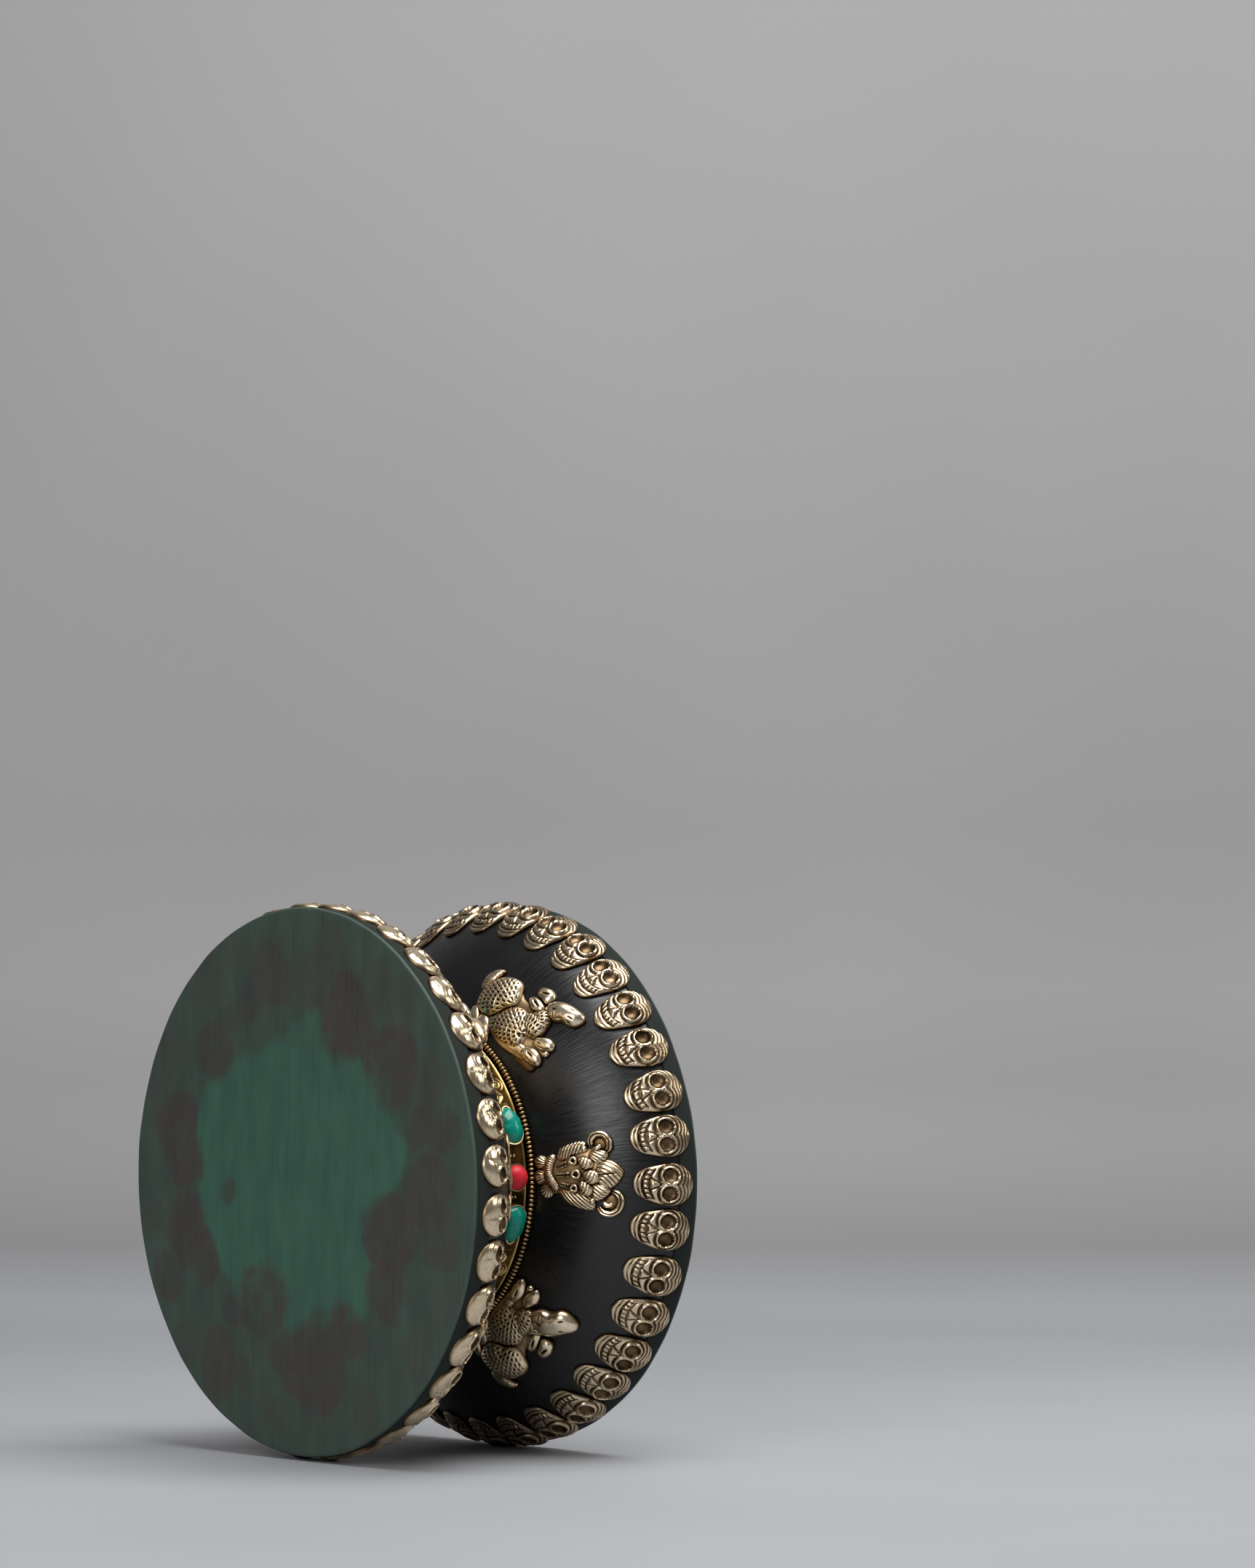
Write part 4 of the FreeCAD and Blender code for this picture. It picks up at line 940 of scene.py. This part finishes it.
skullOutline = [(13.0, 0), (11.5, 4.9), (8.1, 8.0), (3.6, 9.1), (-0.6, 8.7), (-4.5, 7.6), (-8.1, 6.3),
                (-11.4, 4.1), (-13.0, 0)]
skullOutline += [(u, -v) for u, v in skullOutline[-2:0:-1]]


def skullSurface(u, v, share, side):
    # the pressed face: height above the wood and how bright it is
    chin, browDepth = skull["chin"][side], skull["browDepth"][side]
    side = np.abs(v)
    eye = np.hypot(u - skull["eyes"][0], side - skull["eyes"][1])
    inside = np.clip((1 - share) * 9, 0, 1)
    high = skull["high"] * (1 - (1 - chin) * np.clip((1.5 - u) / 10, 0, 1))
    height = skull["edge"] + (high - skull["edge"]) * np.clip(1 - share ** 3.6, 0, 1) ** 0.5
    wear = 0.45 + 0.55 * inside
    # concave sockets inside a raised ring
    bowl = np.clip(1 - (eye / skull["socket"]) ** 2, 0, 1)
    height = height - skull["depth"] * bowl ** 0.6 + 0.6 * lineAt(eye - skull["ring"], 0.5)
    wear = np.where(eye < skull["socket"], 0.2 + 0.25 * bowl, wear)
    lines = []
    # ridges run round the eyes over the brow and meet in the middle
    brow = np.clip((u + 1.2) / 2.0, 0, 1)
    first = eye - skull["ring"] - skull["browStart"]
    for count, deep in enumerate(skull["brows"]):
        lines.append((lineAt(first - skull["browPitch"] * count, skull["line"]) * brow * deep * browDepth, 0.65))
    # the cheeks, crescents under the eyes
    cheek = np.clip((0.1 - u) / 1.5, 0, 1) * np.clip((side - 0.9) / 0.6, 0, 1)
    lines.append((lineAt(first, skull["line"]) * cheek, 0.6))
    # three-sided nose with a chased border
    wide = 2.0 * np.clip((-1.0 - u) / 4.2, 0, 1)
    nose = (u > -5.2) & (u < -1.0)
    height = height + 0.45 * np.clip((wide - side) / 0.4, 0, 1) * nose
    lines.append((lineAt(side - wide - 0.2, skull["thinLine"]) * nose, 0.55))
    # teeth on an arc between two lines, then the lip and the smooth jaw
    bite = u + 7.5 - 0.06 * side ** 2
    mouth = np.clip((6.6 - side) / 0.6, 0, 1)
    teeth = np.clip((1.1 - np.abs(bite)) / 0.35, 0, 1) * mouth
    gap = lineAt(offLine(v / skull["tooth"]) * skull["tooth"], 0.34)
    height = height + 0.35 * teeth
    lines.append((teeth * gap, 0.5))
    for shift, width, deep in ((-1.5, skull["thinLine"], 0.6), (1.5, skull["thinLine"], 0.7), (3.2, 0.32, 0.4)):
        lines.append((lineAt(bite + shift, width) * mouth, deep))
    for line, deep in lines:
        line = line * inside
        height = height - deep * line
        wear = wear * (1 - 0.88 * line)
    return height, np.clip(wear, 0, 1)


def pressedPlate(along, across):
    # a thin closed plate whose grid is later laid over a form
    bpy.ops.object.select_all(action="DESELECT")
    bpy.ops.mesh.primitive_grid_add(x_subdivisions=along, y_subdivisions=across, size=2)
    plate = bpy.context.object
    bpy.ops.object.mode_set(mode="EDIT")
    bpy.ops.mesh.select_all(action="SELECT")
    bpy.ops.mesh.extrude_region_move(TRANSFORM_OT_translate={"value": (0, 0, 1)})
    bpy.ops.object.mode_set(mode="OBJECT")
    return plate


def makeSkulls(side):
    outline = smoothLoop(skullOutline, 360)
    plate = pressedPlate(skull["along"], skull["across"])
    flat = pointsOf(plate)
    x, y, top = flat[:, 0], flat[:, 1], flat[:, 2] > 0.5
    # the square grid is drawn into a disc, and the disc into the outline
    across, around = x * np.sqrt(1 - y * y / 2), y * np.sqrt(1 - x * x / 2)
    share = np.clip(np.hypot(across, around), 0, 1)
    angle = np.arctan2(around, across)
    radius = np.interp(angle, *reachOf(outline, (0, 0)), period=math.tau)
    u = radius * share * np.cos(angle)
    v = radius * share * np.sin(angle)
    height, wear = skullSurface(u, v, share, side)
    setWear(plate, np.where(top, wear, 0.1))
    pieces = []
    for count in range(skull["count"]):
        made = ownCopy(plate)
        place = {
            "inset": skull["inset"] + skull["length"] / 2 + random.uniform(-0.4, 0.4),
            "angle": skull["phase"][side] + count * 360 / skull["count"] + random.uniform(-0.2, 0.2),
            "lean": random.uniform(-4, 4),
            "flip": 1,
        }
        squeeze = random.uniform(0.92, 1.02)
        waveU = np.sin(u * random.uniform(0.2, 0.5) + random.uniform(0, 6))
        waveV = np.sin(v * random.uniform(0.2, 0.5) + random.uniform(0, 6))
        # a pinch in the thin metal near the crown
        pinch, turn = random.uniform(-6, 6), random.uniform(-0.5, 0.5)
        crease = lineAt(v - pinch - (u - 9) * turn, 0.7) * np.clip((u - 4) / 4, 0, 1)
        dent = (skull["wave"] * (waveU * waveV) - skull["crease"] * crease) * skull["crumple"][side] * (1 - share)
        lift = np.where(top, height * squeeze + dent, skull["under"])
        points = onFlank(place, u, v * random.uniform(0.97, 1.0), lift)
        if side == "left":
            points[:, 0] *= -1
        movePoints(made, points)
        pieces.append(made)
    bpy.data.objects.remove(plate)
    made = closeUp(joined("skulls_%s_relief" % side, pieces), 60)
    return finishPiece(made, "drum", "gilt_metal", skullGilt, "skulls_" + side)


for side in ("left", "right"):
    makeSkulls(side)
print("skulls made")


stones = {
    "angles": [2.0, 92.0, 182.0, 272.0],
    "pears": [20.0, -18.0],
    "lift": 67.55,
    "pearRadius": 5.6,
    "pearTip": 2.0,
    "pearSpan": 8.6,
    "pearHigh": 5.3,
    "coralRadius": 5.3,
    "coralHigh": 5.25,
}
band = {
    "radius": 65.45,
    "thickness": 0.8,
    "half": 10.3,
    "beadRow": 9.45,
    "beadRadius": 67.1,
    "bead": 1.65,
    "beadThick": 0.52,       # a bead's thickness as a share of its width
    "beads": 228,
    "core": 1.0,
    "granule": 0.8,
    "granuleRow": (-1.8, 0.0, 1.8),
    "granuleAngles": (8.0, -7.1),
}
scroll = {
    "start": 27.0,           # degrees from the middle of a set of stones
    "pitch": 6.2,
    "swing": 3.2,            # how far the stem winds to either side
    "stem": 1.1,
    "stemHigh": 0.75,
    "curlAt": 2.8,
    "curlPitch": 1.6,
    "curlRadius": 4.4,
    "curlHigh": 0.6,
    "half": 6.8,
    "border": 7.2,
}


def makeBeadedWire(side):
    axial = band["beadRow"] * (1 if side == "right" else -1)
    bpy.ops.object.select_all(action="DESELECT")
    bpy.ops.mesh.primitive_uv_sphere_add(segments=10, ring_count=6, radius=band["bead"] * mm,
                                         location=(axial * mm, -band["beadRadius"] * mm, 0))
    bead = bpy.context.object
    bead.scale = (1, 1, band["beadThick"])
    bpy.ops.object.transform_apply(location=True, rotation=True, scale=True)
    bpy.ops.object.mode_set(mode="EDIT")
    bpy.ops.mesh.select_all(action="SELECT")
    bpy.ops.mesh.spin(steps=band["beads"] - 1, dupli=True, angle=math.tau * (band["beads"] - 1) / band["beads"],
                      center=(0, 0, 0), axis=(1, 0, 0))
    bpy.ops.object.mode_set(mode="OBJECT")
    setWear(bead, np.ones(len(bead.data.vertices)))
    core = turnedSection("core", circleOf((axial, band["beadRadius"]), band["core"], 10), 180)
    setWear(core, np.full(len(core.data.vertices), 0.2))
    made = closeUp(joined("beaded_wire_%s_beads" % side, [bead, core]), 60)
    return finishPiece(made, "drum", "gilt_metal", giltDark, "beaded_wire_" + side)


def bandRelief(angle, axial):
    # embossed scrolls between the stones: height and brightness
    # each quarter of the band has its stones near the middle
    local = (np.degrees(angle) - stones["angles"][0] + 45) % 90 - 45
    run = (np.abs(local) - scroll["start"] - 1) * math.radians(1) * band["radius"]
    wave = np.sin(run / scroll["pitch"] * math.pi)
    height = scroll["stemHigh"] * lineAt(np.abs(axial - wave * scroll["swing"]), scroll["stem"])
    curl = np.hypot((run % scroll["pitch"]) - scroll["pitch"] / 2, axial + np.sign(wave) * scroll["curlAt"])
    turns = 0.5 + 0.5 * np.cos(curl / scroll["curlPitch"] * math.tau)
    height = height + scroll["curlHigh"] * turns * np.clip(scroll["curlRadius"] - curl, 0, 1)
    near = np.clip((np.abs(local) - scroll["start"]) / 1.5, 0, 1)
    height = height * near * np.clip((scroll["half"] - np.abs(axial)) / 0.6, 0, 1)
    height = height + 0.5 * lineAt(np.abs(axial) - scroll["border"], 0.35)
    return np.clip(height, 0, 1.3), 0.15 + 0.85 * np.clip(height / 0.8, 0, 1)


def makeBand():
    outer = [(axial, band["radius"]) for axial in np.linspace(-band["half"], band["half"], 76)]
    inner = band["radius"] - band["thickness"] + 0.1
    section = outer + [(band["half"], inner), (-band["half"], inner)]
    piece = turnedSection("waist_band_relief", section, 760)
    points = pointsOf(piece) / mm
    radius = np.hypot(points[:, 1], points[:, 2])
    angle = np.arctan2(points[:, 2], -points[:, 1])
    lift = bandRelief(angle, points[:, 0])[0]
    outside = radius > band["radius"] - 0.1
    grown = 1 + np.where(outside, lift, 0) / radius
    points[:, 1:] *= grown[:, None]
    movePoints(piece, points * mm)
    closeUp(piece, 60)
    # measured again, because merging doubles can change the order of the points
    points = pointsOf(piece) / mm
    radius = np.hypot(points[:, 1], points[:, 2])
    wear = bandRelief(np.arctan2(points[:, 2], -points[:, 1]), points[:, 0])[1]
    setWear(piece, np.where(radius > band["radius"] - 0.1, wear, 0.2))
    # three granules between the coral and each pear
    granules = []
    for stoneAngle in stones["angles"]:
        for offset in band["granuleAngles"]:
            turn = math.radians(stoneAngle + offset)
            for axial in band["granuleRow"]:
                bpy.ops.object.select_all(action="DESELECT")
                y, z = -band["radius"] * math.cos(turn), band["radius"] * math.sin(turn)
                bpy.ops.mesh.primitive_uv_sphere_add(segments=12, ring_count=8, radius=band["granule"] * mm,
                                                     location=(axial * mm, y * mm, z * mm))
                bpy.ops.object.transform_apply(location=True, rotation=True, scale=True)
                granules.append(bpy.context.object)
                setWear(granules[-1], np.ones(len(granules[-1].data.vertices)))
    piece = joined("waist_band_relief", [piece] + granules)
    bpy.ops.object.shade_smooth_by_angle(angle=math.radians(60))
    return finishPiece(piece, "drum", "gilt_metal", goldSheet, "waist_band")


for side in ("left", "right"):
    makeBeadedWire(side)
makeBand()
print("band and beaded wires made")


def pearLine():
    # the outline round a big and a small circle; the tip points to positive v
    big, tip = stones["pearRadius"], stones["pearTip"]
    bigAt = (tip - big) / 2 - (stones["pearSpan"] / 2 - (big - tip) / 2)
    tipAt = bigAt + stones["pearSpan"]
    lean = math.asin((big - tip) / stones["pearSpan"])
    points = []
    for radius, at, start, end, count in ((big, bigAt, math.pi - lean, math.tau + lean, 40),
                                          (tip, tipAt, lean, math.pi - lean, 14)):
        points += [(radius * math.cos(turn), at + radius * math.sin(turn)) for turn in np.linspace(start, end, count)]
    return np.array(points), bigAt


def cabochon(outline, centre, high, segments=72, rings=34):
    ball, polar, angle = clayBall(segments, rings)
    radius = np.interp(angle, *reachOf(outline, centre), period=math.tau)
    # three quarters of the ball make the polished top, the rest the flat back
    top = polar <= 0.75
    fall = np.clip(polar / 0.75, 0, 1) * math.pi / 2
    share = np.where(top, np.sin(fall), np.sin((1 - polar) / 0.25 * math.pi / 2))
    across = centre[0] + radius * share * np.cos(angle)
    around = centre[1] + radius * share * np.sin(angle)
    height = np.where(top, high * np.cos(fall) ** 0.92, -0.4 * (1 - share))
    return ball, across, around, height


def placeStone(ball, across, around, height, angle, flip):
    a = math.radians(angle)
    out = stones["lift"] + height
    y = -out * math.cos(a) + around * flip * math.sin(a)
    z = out * math.sin(a) + around * flip * math.cos(a)
    movePoints(ball, np.stack([across, y, z], 1) * mm)


def makeStones():
    outline, bigAt = pearLine()
    pears, corals = [], []
    for angle in stones["angles"]:
        for offset in stones["pears"]:
            ball, across, around, height = cabochon(outline, (0, bigAt + 1.2), stones["pearHigh"])
            placeStone(ball, across, around, height, angle + offset, 1 if offset > 0 else -1)
            pears.append(ball)
        circle = np.array(circleOf((0, 0), stones["coralRadius"], 59))
        ball, across, around, height = cabochon(circle, (0, 0), stones["coralHigh"], 56, 28)
        placeStone(ball, across, around, height, angle, 1)
        corals.append(ball)
    made = closeUp(joined("turquoise_cabochons", pears), 60)
    finishPiece(made, "drum", "turquoise", turquoise, "turquoise_stones")
    made = closeUp(joined("coral_cabochons", corals), 60)
    finishPiece(made, "drum", "coral", coral, "coral_stones")


makeStones()
print("stones made")

# the CAD nodes that stay get their finish here
for name in ("waist_tenon", "strap_lug", "strap_ring", "striker_cord_eye_upper", "striker_cord_eye_lower",
             "turquoise_bezels", "coral_bezels"):
    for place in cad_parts[name].material_slots:
        place.material = wood if name == "waist_tenon" else giltPlain


stage = {
    "floor": "#a3a5a9",
    # the crease colour is painted shade, a darker band where the floor turns up into the wall
    "crease": "#8a8a8b",
    "wall": "#a09e9e",
    "near": -2.6,
    "turn": 0.98,            # behind the drum, where the sheet turns up
    "cove": 0.12,
    "high": 2.2,
    "half": 3.0,
}


def lightPanel(name, place, target, size, power, colour):
    bpy.ops.object.light_add(type="AREA", location=place)
    lamp = bpy.context.object
    lamp.name = name
    lamp.data.shape = "RECTANGLE"
    lamp.data.size, lamp.data.size_y = size
    lamp.data.energy = power
    lamp.data.color = linear(colour)[:3]
    lamp.rotation_euler = (Vector(target) - Vector(place)).to_track_quat("-Z", "Y").to_euler()
    return lamp


lens = {
    "place": (-1.74339, -2.16472, 0.12764),
    "azimuth": -40.72,       # how far the view turns off the Y axis
    "pitch": -0.81,
    "focal": 150.28,
}
viewTurn = math.radians(lens["azimuth"])
awayX, awayY = -math.sin(viewTurn), math.cos(viewTurn)
floorLevel = cadBox[0][2]

bpy.ops.object.select_all(action="DESELECT")
bpy.ops.mesh.primitive_grid_add(x_subdivisions=1, y_subdivisions=40, size=2)
sheet = bpy.context.object
sheet.name = "backdrop"
points = pointsOf(sheet)
along = (points[:, 1] + 1) / 2
flatRun = stage["turn"] - stage["cove"] - stage["near"]
bendRun = stage["cove"] * math.pi / 2
total = flatRun + bendRun + stage["high"]
run = along * total
turnShare = np.clip((run - flatRun) / bendRun, 0, 1) * math.pi / 2
bent = stage["turn"] - stage["cove"] + stage["cove"] * np.sin(turnShare)
forward = np.where(run < flatRun, stage["near"] + run, bent)
risen = stage["cove"] * (1 - np.cos(turnShare)) + np.clip(run - flatRun - bendRun, 0, None)
height = np.where(run < flatRun, 0, risen)
side = points[:, 0] * stage["half"]
movePoints(sheet, np.stack([awayX * forward + awayY * side, awayY * forward - awayX * side, floorLevel + height], 1))
backdrop, add = newMaterial("paleBoard")
# matt painted board: even grey, a little lighter and cooler on the table, with painted shade as a darker band where
# the floor turns up into the wall
spot = add("TexCoord").outputs["Object"]
parts = add("SeparateXYZ", {0: spot})
rise = add("MapRange", {0: parts.outputs[2], 1: floorLevel, 2: floorLevel + 0.3, 3: 0.0, 4: 1.0})
cloud = add("TexNoise", {"Vector": spot, "Scale": 3.0, "Detail": 2.0})
boardToneAndCoveShade = add("ValToRGB", {0: rise},
               [(0.0, stage["floor"]), (0.12, stage["crease"]), (0.6, stage["wall"])])
vary = add("ValToRGB", {0: cloud}, [(0.3, "#f6f6f6"), (0.7, "#ffffff")])
shade = add("Mix", {0: 1.0, 6: boardToneAndCoveShade, 7: vary}, data_type="RGBA", blend_type="MULTIPLY")
matt = add("BsdfPrincipled", {"Base Color": shade.outputs[2], "Roughness": 0.6})
add("OutputMaterial", {0: matt})
sheet.data.materials.append(backdrop)
selectOnly(sheet)
bpy.ops.object.shade_smooth()

world = bpy.data.worlds.new("studio")
world.use_nodes = True
bpy.context.scene.world = world
world.node_tree.nodes["Background"].inputs[0].default_value = linear("#8f8f92")
world.node_tree.nodes["Background"].inputs[1].default_value = 0.6

lightPanel("softboxTop", (0.1, -0.35, 1.35), (0.0, 0.05, 0.0), (1.3, 0.9), 26, "#ffffff")
lightPanel("softboxLeft", (-1.6, -0.9, 0.75), (0.0, 0.0, 0.0), (0.9, 1.1), 13, "#fbfcff")
lightPanel("softboxRight", (1.3, -1.3, 0.9), (0.0, 0.0, 0.0), (0.7, 0.9), 7, "#fffaf2")

bpy.ops.object.camera_add(location=lens["place"])
camera = bpy.context.object
pitch = math.radians(lens["pitch"])
back = Vector((math.sin(viewTurn) * math.cos(pitch), -math.cos(viewTurn) * math.cos(pitch), math.sin(pitch)))
camera.rotation_euler = (-back).to_track_quat("-Z", "Y").to_euler()
camera.data.lens = lens["focal"]
camera.data.sensor_width = 36
camera.data.sensor_fit = "AUTO"
camera.data.clip_start, camera.data.clip_end = 0.05, 30
bpy.context.scene.camera = camera
bpy.context.scene.view_settings.view_transform = "Standard"
print("stage, light and camera set")
